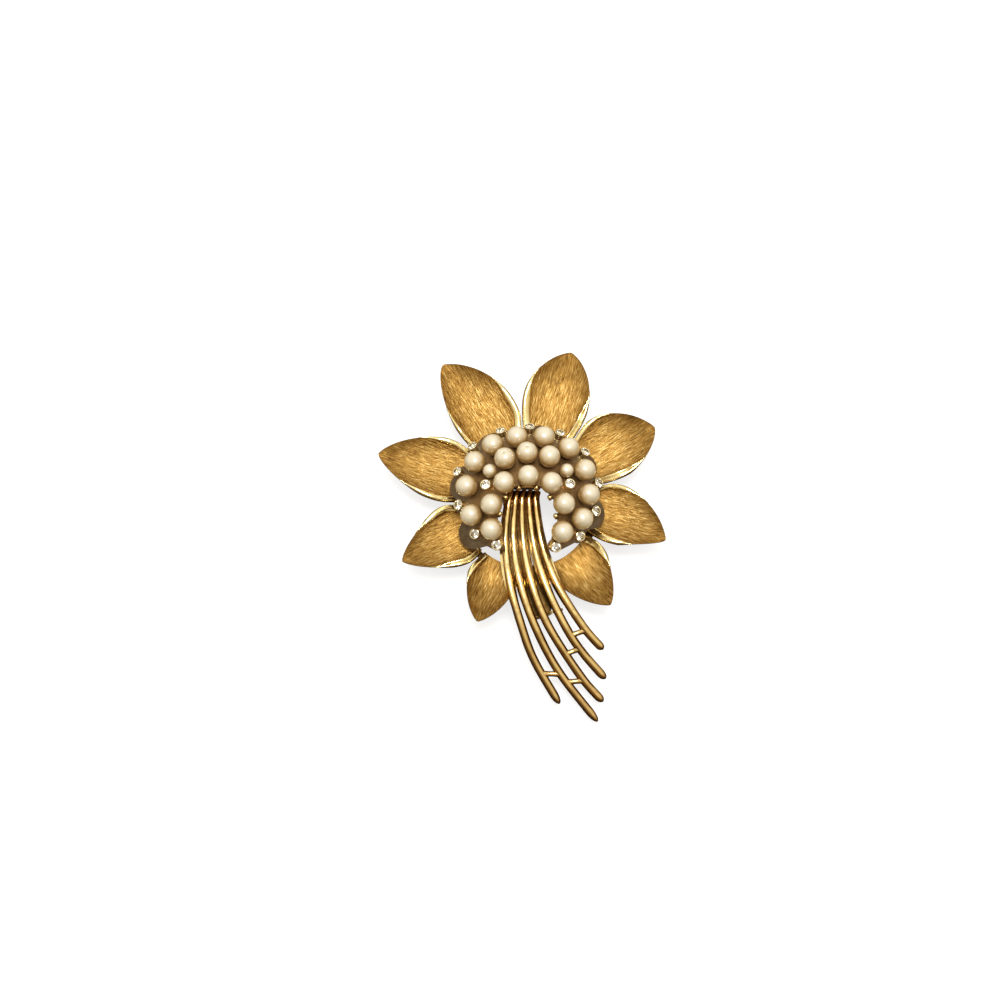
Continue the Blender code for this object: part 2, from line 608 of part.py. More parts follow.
# ---------------------------------------------------------------- pin
knuckle = turned(((0.0, -KNUCKLE_WIDTH / 2), (KNUCKLE_RADIUS, -KNUCKLE_WIDTH / 2),
                  (KNUCKLE_RADIUS, KNUCKLE_WIDTH / 2), (0.0, KNUCKLE_WIDTH / 2)), 20,
                 Matrix.Rotation(radians(90), 4, "X"))
pin = object_from("pin_stem", knuckle, pin_steel, hinge_place, PIN_BEARING)
stem_profile = (
    (0.0, 0.85), (PIN_RADIUS, 0.85), (PIN_RADIUS, 22.0), (0.30, PIN_LENGTH - 2.4), (0.12, PIN_LENGTH - 0.6),
    (0.03, PIN_LENGTH), (0.0, PIN_LENGTH),
)
join_solids(pin, [turned(stem_profile, 10, Matrix.Rotation(radians(90), 4, "Y"))])
cut_solids(pin, [turned(((0.0, -2.0), (RIVET_RADIUS + 0.06, -2.0), (RIVET_RADIUS + 0.06, 2.0), (0.0, 2.0)), 16,
                        Matrix.Rotation(radians(90), 4, "X"))])

# ---------------------------------------------------------------- catch
step = Vector((cos(radians(PIN_BEARING)), sin(radians(PIN_BEARING)), 0.0)) * CATCH_DISTANCE
catch_place = Vector(hinge_place) + step
housing_outline = arc(HOUSING_OUTER, -40, 220, 20) + arc(HOUSING_INNER, 220, -40, 20)
catch = object_from("catch_base", prism(housing_outline, -0.7, 0.7, "X"), fitting_gold, catch_place, PIN_BEARING)
foot = prism([(-0.68, -1.45), (0.68, -1.45), (0.68, 1.45), (-0.68, 1.45)], 1.3, RING_BACK - FITTING_Z - PLAY)
join_solids(catch, [foot])

rotor_profile = (
    (-1.22, ROTOR_INNER), (-1.22, ROTOR_FLANGE), (-0.78, ROTOR_FLANGE), (-0.78, ROTOR_OUTER),
    (0.78, ROTOR_OUTER), (0.78, ROTOR_FLANGE), (1.22, ROTOR_FLANGE), (1.22, ROTOR_INNER),
)
bm = bmesh.new()
rings = []
for k in range(21):
    a = radians(ROTOR_START + ROTOR_TURN * k / 20)
    rings.append([bm.verts.new((x, r * cos(a), r * sin(a))) for x, r in rotor_profile])
bridge(bm, rings)
rotor = object_from("catch_rotor", bm, fitting_gold, catch_place, PIN_BEARING)
lever = prism([(ROTOR_OUTER - 0.1, -0.28), (3.0, -0.28), (3.35, 0.0), (3.0, 0.28), (ROTOR_OUTER - 0.1, 0.28)],
              0.83, 1.17, "X")
bmesh.ops.transform(lever, matrix=Matrix.Rotation(radians(LEVER_BEARING), 4, "X"), verts=lever.verts)
join_solids(rotor, [lever])
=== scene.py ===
"""Studio scene of the flower brooch: detailed pieces on the CAD frame, with procedural finishes."""
from math import asin, cos, degrees, exp, hypot, log, pi, radians, sin, sqrt, tan

import bmesh
import bpy
from mathutils import Matrix, Vector, noise


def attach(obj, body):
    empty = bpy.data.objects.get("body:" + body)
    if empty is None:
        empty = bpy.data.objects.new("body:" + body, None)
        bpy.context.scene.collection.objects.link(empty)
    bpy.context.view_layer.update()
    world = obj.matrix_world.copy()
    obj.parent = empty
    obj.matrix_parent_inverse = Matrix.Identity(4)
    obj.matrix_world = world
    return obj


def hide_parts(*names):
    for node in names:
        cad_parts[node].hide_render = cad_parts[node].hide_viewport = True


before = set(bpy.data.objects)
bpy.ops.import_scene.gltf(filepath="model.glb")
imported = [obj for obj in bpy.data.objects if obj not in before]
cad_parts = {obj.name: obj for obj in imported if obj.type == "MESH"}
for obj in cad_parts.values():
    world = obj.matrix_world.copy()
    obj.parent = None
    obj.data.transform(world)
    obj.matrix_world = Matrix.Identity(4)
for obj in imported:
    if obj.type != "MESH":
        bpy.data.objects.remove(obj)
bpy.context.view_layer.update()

# Sizes are in millimetres, as the meshes are drawn; MM carries them to the frame's metres.
MM = 0.001
FLOWER = Vector((0.75, 5.25, 0.0))
# The ring's inner edge steps back where the stem passes in front of it.
RING_BACK, RING_FRONT = 3.40, 4.10
RING_INNER, RING_OUTER, RING_OPEN_INNER = 9.8, 11.5, 10.5
RING_OPEN_BEARING, RING_OPEN_HALF, RING_OPEN_BLEND = -90.0, 48.0, 12.0

# Petals: name, bearing, reach, left and right half widths, widest share, fullness, lean
PETALS = (
    ("petal_top_left", 121.3, 25.4, 5.00, 4.90, 0.30, 2.2, -1.6),
    ("petal_top", 73.5, 24.7, 5.00, 5.10, 0.42, 2.2, 0.25),
    ("petal_right_upper", 30.0, 23.0, 5.15, 5.35, 0.33, 2.2, 1.15),
    ("petal_right", -17.0, 22.3, 4.70, 4.55, 0.25, 1.7, 1.8),
    ("petal_lower_right", -52.8, 21.0, 4.85, 4.35, 0.15, 1.7, -0.1),
    ("petal_lower_left", -111.8, 20.8, 3.45, 4.20, 0.25, 1.9, 0.0),
    ("petal_left_lower", -152.8, 21.7, 4.75, 5.40, 0.12, 1.4, 0.0),
    ("petal_left", 162.7, 24.3, 4.75, 5.00, 0.27, 1.8, -0.7),
)
PETAL_SEAMS = (136.6, 93.4, 53.9, 13.0, -29.3, -86.0, -131.0, -178.0)
SEAM_GAP = 0.15
PETAL_ROOT_RADIUS, PETAL_ROOT_Z = 10.4, 4.90
PETAL_TIP_RISE, PETAL_DIP, PETAL_CUP, PETAL_THICKNESS = 2.3, 0.4, 1.6, 0.5
# Polished rims, left and right of each petal: share where the rim ends, width, twin ridges
RIMS = (
    ((0.60, 0.60, False), (0.66, 1.05, False)),
    ((0.76, 1.20, False), (0.64, 0.90, True)),
    ((0.66, 0.75, False), (0.74, 1.00, True)),
    ((0.64, 0.66, False), (0.63, 1.20, False)),
    ((0.56, 1.20, False), None),
    (None, (0.52, 1.00, False)),
    ((0.70, 0.80, True), (0.66, 1.10, False)),
    ((0.74, 0.82, False), (0.64, 0.82, False)),
)

# Crown: a dome cut to a scalloped outline, with an arch and two legs on its lower side
DOME_RADIUS, DOME_TOP = 17.0, 11.5
PLATE_THICKNESS, PLATE_RADIUS = 0.6, 10.6
SCALLOPS = (-14.0, 31.6, 77.2, 122.8, 168.4, 214.0)
SCALLOP_CENTRE, SCALLOP_RADIUS = 9.6, 2.65
ARCH_RADIUS, ARCH_Y, ARCH_START, ARCH_END = 4.75, -3.5, -35.0, 215.0
LEG_END_X, LEG_END_Y = 3.5, -8.5
LOBE_RADIUS, END_LOBE_RADIUS, END_STONES = 1.25, 1.0, (8, 12)
CROWN_STEPS, CROWN_SPANS = 220, 14
PEARL_RADIUS, SMALL_PEARL_RADIUS, PLAY = 1.70, 1.12, 0.06
# Pearls and stones: bearing, distance from the flower's centre
PEARLS = (
    (201.7, 8.46), (173.4, 8.56), (148.7, 8.61), (125.2, 8.46), (100.7, 8.15), (73.9, 8.37),
    (48.5, 8.68), (22.6, 8.64), (358.6, 8.53), (334.2, 8.40), (310.2, 7.40), (226.4, 7.31),
    (201.3, 5.42), (162.5, 3.44), (87.9, 1.89), (16.7, 3.39), (339.5, 5.37),
    (124.5, 5.60), (91.0, 5.43), (58.5, 5.77), (150.3, 6.25), (29.6, 6.42),
)
FIRST_SMALL_PEARL, DRILLED = 20, (17, 18)
STONES = (
    (136.1, 11.30), (111.4, 10.87), (88.1, 10.70), (63.5, 10.90), (38.9, 10.98), (11.4, 10.72),
    (347.4, 10.29), (321.5, 9.83), (297.6, 8.92), (159.3, 11.07), (187.4, 10.26), (216.7, 9.67),
    (239.1, 8.84), (169.1, 6.28), (12.1, 6.33),
)
STONE_RADIUS, COLLET_RADIUS, COLLET_BORE, COLLET_HEIGHT, STONE_SINK = 0.66, 0.84, 0.70, 1.0, 0.12

GALLERY_RADIUS, GALLERY_RAIL_Z, POST_RADIUS = 10.05, 5.6, 0.25
RAIL_START, RAIL_END, RAIL_STEP = -30, 210, 4
POST_BEARINGS = (-26, 0, 26, 50, 77, 100, 124, 148, 172, 206)
BEAD_BEARINGS, BEAD_RADIUS, BEAD_INSET, BEAD_RISE = (178, 142, 108, 72, 38, -2), 0.42, 0.45, 0.35
INNER_RAIL_OUTSET, INNER_RAIL_DROP = 0.65, 1.3
RAIL_RADIUS, INNER_RAIL_RADIUS, PRONG_RADIUS = 0.25, 0.24, 0.19

# Stem: its lowest tip, and each strand's corners, from under the crown to its tip
STEM_END = -34.0
STRANDS = (
    ("stem_strand_1", ((-2.35, 0.9, 8.7), (-2.95, -1.5, 8.8), (-3.42, -7.0, 7.6), (-2.71, -13.5, 7.7),
                       (-0.96, -19.8, 6.4), (1.04, -24.9, 4.5), (4.9, -31.3, 2.6))),
    ("stem_strand_2", ((-1.40, 0.9, 8.7), (-1.91, -1.1, 8.8), (-2.15, -7.0, 7.6), (-1.12, -13.5, 7.7),
                       (1.09, -19.8, 6.4), (4.80, -26.5, 3.9), (10.73, -34.0, 2.3))),
    ("stem_strand_3", ((-0.45, 0.9, 8.7), (-0.87, -1.1, 8.8), (-0.64, -7.0, 7.6), (0.62, -13.5, 7.7),
                       (3.16, -19.8, 6.4), (8.09, -27.1, 3.8), (11.57, -31.0, 2.7))),
    ("stem_strand_4", ((0.50, 0.9, 8.7), (0.25, -1.1, 8.8), (0.93, -7.0, 7.6), (2.69, -13.5, 7.7),
                       (5.71, -19.8, 6.4), (8.33, -23.6, 5.0), (11.97, -27.6, 3.6))),
    ("stem_strand_5", ((1.45, 0.9, 8.7), (1.26, -1.1, 8.8), (2.18, -7.0, 7.6), (4.43, -13.5, 7.7),
                       (8.40, -19.8, 6.4), (11.57, -23.3, 5.1))),
)
STRAND_HALF_TOP, STRAND_HALF, STRAND_TOP_Y, STRAND_FULL_Y = 0.42, 0.66, 0.9, -20.0
STRAND_ROUND_FROM = 0.965
CROSSBAR_RADIUS = 0.34
CROSSBAR_Y = (-26.9, -28.0, -23.6, -20.9)
CROSSBAR_RISE = (0.0, 0.15, 0.4, 0.4)
COLLAR, COLLAR_BACK, COLLAR_FRONT = (-2.9, 2.0, 1.1, 2.0), 8.1, 9.7

PIN_BEARING = -72.0
HINGE = Vector((-6.2, 9.2, 1.5)) + FLOWER
PIN_LENGTH, PIN_RADIUS, PIN_TAPER_FROM, CATCH_DISTANCE = 30.5, 0.42, 22.0, 26.8
KNUCKLE_RADIUS, KNUCKLE_WIDTH, RIVET_RADIUS = 1.25, 1.3, 0.45
TONGUE_START, TONGUE_END, TONGUE_WIDTH = 20.3, 28.4, 3.6
# Rectangles: lowest and highest x, lowest and highest y, with x along the pin
HINGE_PAD, HINGE_PLATE = (-2.2, 1.6, -2.2, 2.2), (-1.9, 1.4, -1.75, 1.75)
CATCH_FOOT = (-0.68, 0.68, -1.45, 1.45)
CHEEK_INSIDE, CHEEK_THICKNESS = KNUCKLE_WIDTH / 2 + PLAY, 0.7
FITTING_FRONT = RING_BACK - HINGE.z - PLAY
ROTOR_INNER, ROTOR_OUTER, ROTOR_FLANGE, ROTOR_MOUTH = 0.62, 1.05, 1.5, 100
LEVER_END, LEVER_HALF, LEVER_TIP_RADIUS = 2.6, 0.28, 0.42
HOUSING_INNER, HOUSING_OUTER = 1.11, 1.55
CATCH = HINGE + Vector((cos(radians(PIN_BEARING)), sin(radians(PIN_BEARING)), 0.0)) * CATCH_DISTANCE

AT_FLOWER = Matrix.Translation(FLOWER)
ALONG_PIN = Matrix.Rotation(radians(PIN_BEARING), 4, "Z")
AT_HINGE = Matrix.Translation(HINGE) @ ALONG_PIN
AT_CATCH = Matrix.Translation(CATCH) @ ALONG_PIN
AT_PIN = Matrix.Translation((HINGE.x, HINGE.y, 0.0)) @ ALONG_PIN
SIDEWAYS = Matrix.Rotation(radians(90), 4, "X")
FORWARD = Matrix.Rotation(radians(90), 4, "Y")


# ---------- materials
def shader_tree(name, **values):
    """A new Principled material: (material, nodes, links, shader), with inputs set by name."""
    made = bpy.data.materials.new(name)
    made.use_nodes = True
    tree = made.node_tree
    shader = tree.nodes["Principled BSDF"]
    for key, value in values.items():
        shader.inputs[key.replace("_", " ")].default_value = value
    return made, tree.nodes, tree.links, shader


def noise_node(nodes, links, vector, scale, stretch=(1, 1, 1), detail=3.0, rough=0.5):
    """Noise on a vector output, with its own stretch."""
    mapping = nodes.new("ShaderNodeMapping")
    mapping.inputs["Scale"].default_value = stretch
    links.new(vector, mapping.inputs["Vector"])
    made = nodes.new("ShaderNodeTexNoise")
    made.inputs["Scale"].default_value = scale
    made.inputs["Detail"].default_value = detail
    made.inputs["Roughness"].default_value = rough
    links.new(mapping.outputs["Vector"], made.inputs["Vector"])
    return made.outputs["Fac"]


def ramp(nodes, links, fac, stops):
    """Colours along a value."""
    made = nodes.new("ShaderNodeValToRGB")
    points = made.color_ramp.elements
    while len(points) < len(stops):
        points.new(0.5)
    for point, (where, colour) in zip(points, stops):
        point.position = where
        point.color = (*colour, 1.0)
    links.new(fac, made.inputs["Fac"])
    return made.outputs["Color"]


def to_range(nodes, links, value, low, high, out_low, out_high):
    """A value carried from one range to another."""
    made = nodes.new("ShaderNodeMapRange")
    for key, number in (("From Min", low), ("From Max", high), ("To Min", out_low), ("To Max", out_high)):
        made.inputs[key].default_value = number
    links.new(value, made.inputs["Value"])
    return made.outputs["Result"]


def math_node(nodes, links, kind, a, b):
    """Two values put together."""
    made = nodes.new("ShaderNodeMath")
    made.operation = kind
    for slot, value in zip(made.inputs, (a, b)):
        if isinstance(value, (int, float)):
            slot.default_value = value
        else:
            links.new(value, slot)
    return made.outputs["Value"]


def weighted(nodes, links, a, a_share, b, b_share):
    """Two values added, each by its own share."""
    return math_node(nodes, links, "ADD", math_node(nodes, links, "MULTIPLY", a, a_share),
                     math_node(nodes, links, "MULTIPLY", b, b_share))


def bump(nodes, links, shader, height, strength, distance):
    """Relief from a height value; distance is in metres."""
    made = nodes.new("ShaderNodeBump")
    made.inputs["Strength"].default_value = strength
    made.inputs["Distance"].default_value = distance
    links.new(height, made.inputs["Height"])
    links.new(made.outputs["Normal"], shader.inputs["Normal"])


def tinted(nodes, links, colour, value, stops):
    """A colour multiplied by a ramp along a value."""
    made = nodes.new("ShaderNodeMixRGB")
    made.blend_type = "MULTIPLY"
    made.inputs["Fac"].default_value = 1.0
    links.new(colour, made.inputs["Color1"])
    links.new(ramp(nodes, links, value, stops), made.inputs["Color2"])
    return made.outputs["Color"]


def painted_facing_light(nodes, links, colour, stops):
    """Painted light and shade by facing: a tint along how far the surface faces the front."""
    split = nodes.new("ShaderNodeSeparateXYZ")
    links.new(nodes.new("ShaderNodeTexCoord").outputs["Normal"], split.inputs["Vector"])
    facing = to_range(nodes, links, split.outputs["Z"], -1.0, 1.0, 0.0, 1.0)
    return tinted(nodes, links, colour, facing, stops)


def from_centre(nodes, links, low, high):
    """Distance from the piece's own upright axis, from 0 at low to 1 at high, in metres."""
    flat = nodes.new("ShaderNodeVectorMath")
    flat.operation = "MULTIPLY"
    flat.inputs[1].default_value = (1.0, 1.0, 0.0)
    links.new(object_vector(nodes), flat.inputs[0])
    size = nodes.new("ShaderNodeVectorMath")
    size.operation = "LENGTH"
    links.new(flat.outputs["Vector"], size.inputs[0])
    return to_range(nodes, links, size.outputs["Value"], low, high, 0.0, 1.0)


def object_vector(nodes):
    """Coordinates in the piece's own frame, in metres."""
    return nodes.new("ShaderNodeTexCoord").outputs["Object"]


def uv_layer(nodes, name):
    """Coordinates from one of the piece's UV layers."""
    made = nodes.new("ShaderNodeUVMap")
    made.uv_map = name
    return made.outputs["UV"]


def brushed_gold(name):
    """Florentine finish: short wavy scratches lengthwise; painted light makes it bright halfway, and painted
    shade makes it duller to the root, the tip and the edges.
    """
    made, nodes, links, shader = shader_tree(name, Metallic=1.0)
    where, place = uv_layer(nodes, "grain"), uv_layer(nodes, "place")
    bend = nodes.new("ShaderNodeTexNoise")
    bend.inputs["Scale"].default_value = 0.40
    bend.inputs["Detail"].default_value = 1.0
    links.new(where, bend.inputs["Vector"])
    shift = nodes.new("ShaderNodeVectorMath")
    shift.operation = "MULTIPLY_ADD"
    shift.inputs[1].default_value = (0.0, 0.5, 0.0)
    links.new(bend.outputs["Color"], shift.inputs[0])
    links.new(where, shift.inputs[2])
    waved = shift.outputs["Vector"]
    streak = noise_node(nodes, links, waved, 1.0, (0.65, 5.0, 1), 4.0, 0.65)
    broad = noise_node(nodes, links, waved, 1.0, (0.22, 0.75, 1), 3.0, 0.55)
    hair = noise_node(nodes, links, waved, 1.0, (1.4, 11.0, 1), 2.0, 0.6)
    fine = weighted(nodes, links, streak, 0.8, hair, 0.2)
    split = nodes.new("ShaderNodeSeparateXYZ")
    links.new(place, split.inputs["Vector"])
    along, across = split.outputs["X"], split.outputs["Y"]
    # Painted light along the petal: brighter halfway, with painted shade at the root and the tip.
    painted_length_light = ramp(nodes, links, along, (
        (0.0, (0.44, 0.44, 0.44)), (0.20, (0.60, 0.60, 0.60)), (0.52, (0.62, 0.62, 0.62)),
        (0.80, (0.51, 0.51, 0.51)), (1.0, (0.41, 0.41, 0.41))))
    # Painted shade beside the rims, strongest near the root and fading towards the tip.
    side = math_node(nodes, links, "ABSOLUTE", math_node(nodes, links, "SUBTRACT", across, 0.5), 0.0)
    painted_rim_shade = math_node(nodes, links, "MULTIPLY", to_range(nodes, links, side, 0.32, 0.45, 0.0, 0.50),
                          to_range(nodes, links, along, 0.2, 0.75, 1.0, 0.25))
    tone = math_node(nodes, links, "ADD", painted_length_light, math_node(nodes, links, "MULTIPLY", broad, 0.6))
    tone = math_node(nodes, links, "ADD", tone, math_node(nodes, links, "MULTIPLY", fine, 4.0))
    tone = math_node(nodes, links, "SUBTRACT", tone, painted_rim_shade)
    tone = to_range(nodes, links, tone, 2.12, 3.52, 0.0, 1.0)
    colour = ramp(nodes, links, tone, (
        (0.0, (0.135, 0.063, 0.012)), (0.30, (0.285, 0.146, 0.031)), (0.52, (0.41, 0.223, 0.053)),
        (0.72, (0.53, 0.318, 0.087)), (1.0, (0.77, 0.55, 0.22))))
    # Painted shade by facing: the petal's steep sides dark, its back a little dark.
    colour = painted_facing_light(nodes, links, colour, (
        (0.0, (0.85, 0.80, 0.74)), (0.30, (0.72, 0.64, 0.55)), (0.54, (0.28, 0.20, 0.14)),
        (0.70, (0.60, 0.50, 0.40)), (0.80, (1.0, 1.0, 1.0))))
    links.new(colour, shader.inputs["Base Color"])
    links.new(to_range(nodes, links, fine, 0.3, 0.7, 0.50, 0.34), shader.inputs["Roughness"])
    bump(nodes, links, shader, fine, 0.8, 0.00018)
    return made


def polished_gold(name, colour=(0.92, 0.66, 0.28), roughness=0.10, wear=0.5, painted_facing_shade=None,
                  stretch=(1, 6, 1), along=None):
    """Bright gold, slightly uneven in polish; an optional facing ramp paints shade by facing, and along
    paints shade by distance down the stem.
    """
    made, nodes, links, shader = shader_tree(name, Metallic=1.0)
    where = object_vector(nodes)
    cloud = noise_node(nodes, links, where, 700.0, (1, 1, 1), 3.0, 0.6)
    line = noise_node(nodes, links, where, 900.0, stretch, 2.0, 0.6)
    darker = tuple(c * 0.80 for c in colour)
    lighter = tuple(min(c * 1.10, 1.0) for c in colour)
    tone = ramp(nodes, links, cloud, ((0.35, darker), (0.5, colour), (0.68, lighter)))
    # Painted shade by facing.
    if painted_facing_shade:
        tone = painted_facing_light(nodes, links, tone, painted_facing_shade)
    # Painted shade down the stem: darker under the crown and towards the tips.
    if along:
        split = nodes.new("ShaderNodeSeparateXYZ")
        links.new(where, split.inputs["Vector"])
        down = to_range(nodes, links, split.outputs["Y"], 0.0, STEM_END * MM, 0.0, 1.0)
        tone = tinted(nodes, links, tone, down, along)
    links.new(tone, shader.inputs["Base Color"])
    links.new(to_range(nodes, links, line, 0.35, 0.7, roughness * 0.7, roughness * (1.6 + wear)),
              shader.inputs["Roughness"])
    both = math_node(nodes, links, "ADD", cloud, math_node(nodes, links, "MULTIPLY", line, 0.5))
    bump(nodes, links, shader, both, 0.18 * wear, 0.00005)
    return made


def satin_metal(name, low, middle, high, roughness, metallic=1.0, painted_facing_shade=None, painted_gold_reflection=None):
    """Matte metal with fine grain and blotches; an optional facing ramp paints shade by facing, and an
    optional ramp by distance from the piece's centre paints a reflection of the gold around it.
    """
    made, nodes, links, shader = shader_tree(name, Metallic=metallic)
    where = object_vector(nodes)
    grain = noise_node(nodes, links, where, 1400.0, (1, 1, 1), 4.0, 0.65)
    blotch = noise_node(nodes, links, where, 260.0, (1, 1, 1), 3.0, 0.55)
    both = weighted(nodes, links, grain, 0.5, blotch, 0.5)
    tone = ramp(nodes, links, both, ((0.35, low), (0.5, middle), (0.66, high)))
    # Painted shade by facing.
    if painted_facing_shade:
        tone = painted_facing_light(nodes, links, tone, painted_facing_shade)
    # Painted reflection of the gold, tinted by distance from the piece's centre.
    if painted_gold_reflection:
        tone = tinted(nodes, links, tone, from_centre(nodes, links, 0.006, 0.012), painted_gold_reflection)
    links.new(tone, shader.inputs["Base Color"])
    links.new(to_range(nodes, links, both, 0.3, 0.7, roughness * 1.15, roughness * 0.85),
              shader.inputs["Roughness"])
    bump(nodes, links, shader, grain, 0.30, 0.00006)
    return made


def nacre(name):
    """Cream pearl: faint clouds of tone under a clear coat, with painted shade and a painted reflection of
    the gold making its sides warmer and darker, and a painted highlight on its front.
    """
    made, nodes, links, shader = shader_tree(
        name, Metallic=0.0, IOR=1.9, Coat_Weight=1.0, Coat_Roughness=0.17, Coat_IOR=2.4,
        Subsurface_Weight=0.12)
    shader.inputs["Subsurface Radius"].default_value = (0.0009, 0.0006, 0.0004)
    where = object_vector(nodes)
    cloud = noise_node(nodes, links, where, 420.0, (1, 1, 2.2), 4.0, 0.55)
    grain = noise_node(nodes, links, where, 2600.0, (1, 1, 1), 3.0, 0.6)
    both = weighted(nodes, links, cloud, 0.8, grain, 0.2)
    body = ramp(nodes, links, both, ((0.30, (0.40, 0.335, 0.215)), (0.50, (0.48, 0.410, 0.280)),
                                     (0.70, (0.56, 0.490, 0.350))))
    # Painted shade and a painted reflection of the gold down the pearl's sides, and a painted highlight on
    # its front.
    body = painted_facing_light(nodes, links, body, (
        (0.0, (0.55, 0.34, 0.12)), (0.52, (0.62, 0.40, 0.15)), (0.70, (0.80, 0.61, 0.34)),
        (0.86, (1.00, 0.95, 0.84)), (0.96, (1.22, 1.25, 1.27))))
    links.new(body, shader.inputs["Base Color"])
    links.new(to_range(nodes, links, both, 0.3, 0.7, 0.46, 0.34), shader.inputs["Roughness"])
    bump(nodes, links, shader, both, 0.10, 0.00006)
    return made


def diamond(name):
    """Clear stone with faint facet soiling."""
    made, nodes, links, shader = shader_tree(name, Metallic=0.0, IOR=2.1, Transmission_Weight=1.0)
    where = object_vector(nodes)
    cloud = noise_node(nodes, links, where, 900.0, (1, 1, 1), 2.0, 0.5)
    links.new(ramp(nodes, links, cloud, ((0.3, (0.96, 0.91, 0.78)), (0.7, (1.0, 0.98, 0.92)))),
              shader.inputs["Base Color"])
    links.new(to_range(nodes, links, cloud, 0.3, 0.7, 0.0, 0.03), shader.inputs["Roughness"])
    return made


# Painted shade by facing: 0 is a surface that faces the back, 0.5 a side, 1 the front.
# Painted shade on the rims' sides.
SIDE_PAINTED_SHADE = ((0.0, (0.80, 0.74, 0.66)), (0.30, (0.66, 0.56, 0.46)), (0.50, (0.20, 0.11, 0.05)),
                (0.68, (0.55, 0.42, 0.28)), (0.84, (1.0, 0.96, 0.9)), (1.0, (1.0, 1.0, 1.0)))
# Painted shade on the strands' flanks.
WIRE_PAINTED_SHADE = ((0.0, (0.70, 0.62, 0.52)), (0.28, (0.48, 0.38, 0.27)), (0.50, (0.15, 0.095, 0.05)),
                (0.64, (0.17, 0.11, 0.06)), (0.77, (0.44, 0.32, 0.19)), (0.88, (0.82, 0.70, 0.52)),
                (0.95, (1.0, 1.0, 1.0)))
# Painted shade on front-facing surfaces, where the ring and its tongue lie under the petals and the stem.
FRONT_PAINTED_SHADE = ((0.0, (1.0, 1.0, 1.0)), (0.60, (0.9, 0.85, 0.8)), (0.80, (0.14, 0.12, 0.10)),
                 (1.0, (0.10, 0.085, 0.07)))
# Painted shade down the stem: 0 is the flower's centre, 1 the longest strand's tip; a painted shadow under
# the crown and painted shade towards the tips.
STEM_PAINTED_SHADE = ((0.0, (0.72, 0.52, 0.36)), (0.10, (0.94, 0.86, 0.74)), (0.22, (1.0, 1.0, 1.0)),
             (0.42, (1.0, 0.96, 0.90)), (0.64, (0.84, 0.73, 0.60)), (1.0, (0.66, 0.53, 0.42)))

petal_gold = brushed_gold("petal_gold")
# Rims and strands carry painted shade by facing; the strands also carry painted shade down the stem.
rim_gold = polished_gold("rim_gold", (1.0, 0.82, 0.40), 0.10, 0.6, SIDE_PAINTED_SHADE)
stem_gold = polished_gold("stem_gold", (1.0, 0.80, 0.38), 0.14, 0.5, WIRE_PAINTED_SHADE, (5, 0.4, 5), STEM_PAINTED_SHADE)
gallery_gold = polished_gold("gallery_gold", (0.93, 0.68, 0.30), 0.15, 0.6)
collet_gold = polished_gold("collet_gold", (1.0, 0.84, 0.50), 0.16, 0.6)
# A darker copy of the satin gold, as painted shade for the ring and its tongue, which lie under the petals
# and the stem.
shade_darkened_gold = satin_metal("shade_darkened_gold", (0.40, 0.23, 0.06), (0.60, 0.38, 0.12), (0.74, 0.50, 0.19), 0.36,
                        painted_facing_shade=FRONT_PAINTED_SHADE)
fitting_gold = satin_metal("fitting_gold", (0.50, 0.31, 0.10), (0.74, 0.50, 0.20), (0.88, 0.65, 0.30), 0.26)
# The crown plate's dark colour is partly its oxidised metal and partly painted shade between the pearls; its
# warmer centre is a painted reflection of the gold.
crown_metal = satin_metal("crown_metal", (0.105, 0.074, 0.042), (0.158, 0.115, 0.068), (0.22, 0.165, 0.104),
                          0.46, 0.75, painted_gold_reflection=((0.0, (1.32, 0.98, 0.55)), (0.45, (1.26, 0.98, 0.60)),
                                             (0.72, (1.1, 1.08, 1.05))))
pin_steel = satin_metal("pin_steel", (0.34, 0.32, 0.29), (0.50, 0.48, 0.44), (0.64, 0.61, 0.56), 0.22)
pearl_nacre = nacre("pearl_nacre")
diamond_glass = diamond("diamond_glass")


# ---------- mesh helpers
def piece_from(name, bm, paint, node, body="brooch", place=AT_FLOWER, angle=40, bevel=0.0):
    """Link a mesh drawn in millimetres as a visual piece that stands for a CAD node."""
    bmesh.ops.recalc_face_normals(bm, faces=bm.faces)
    mesh = bpy.data.meshes.new(name)
    bm.to_mesh(mesh)
    bm.free()
    part = bpy.data.objects.new(name, mesh)
    bpy.context.scene.collection.objects.link(part)
    mesh.materials.append(paint)
    mesh.transform(Matrix.Scale(MM, 4))
    if angle:
        mesh.shade_smooth()
        mesh.set_sharp_from_angle(angle=radians(angle))
    if bevel:
        edge = part.modifiers.new("edge", "BEVEL")
        edge.width, edge.segments = bevel * MM, 2
        edge.limit_method, edge.angle_limit = "ANGLE", radians(40)
        edge.harden_normals = True
    turn = place.copy()
    turn.translation *= MM
    part.matrix_world = turn
    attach(part, body)
    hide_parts(node)


def bridge(bm, rings, closed=False):
    """Quads between consecutive rings of vertices, with caps on an open run."""
    count = len(rings[0])
    for i in range(len(rings) if closed else len(rings) - 1):
        a, b = rings[i], rings[(i + 1) % len(rings)]
        for j in range(count):
            k = (j + 1) % count
            bm.faces.new((a[j], a[k], b[k], b[j]))
    if not closed:
        bm.faces.new(list(reversed(rings[0])))
        bm.faces.new(rings[-1])


def smooth_path(points, steps):
    """Catmull-Rom points through a list of corners."""
    points = [Vector(p) for p in points]
    ends = [points[0] * 2 - points[1]] + points + [points[-1] * 2 - points[-2]]
    path = []
    for i in range(1, len(ends) - 2):
        p0, p1, p2, p3 = ends[i - 1:i + 3]
        for k in range(steps):
            t = k / steps
            path.append(0.5 * (2 * p1 + (p2 - p0) * t + (2 * p0 - 5 * p1 + 4 * p2 - p3) * t * t
                               + (3 * p1 - p0 - 3 * p2 + p3) * t ** 3))
    return path + [points[-1]]


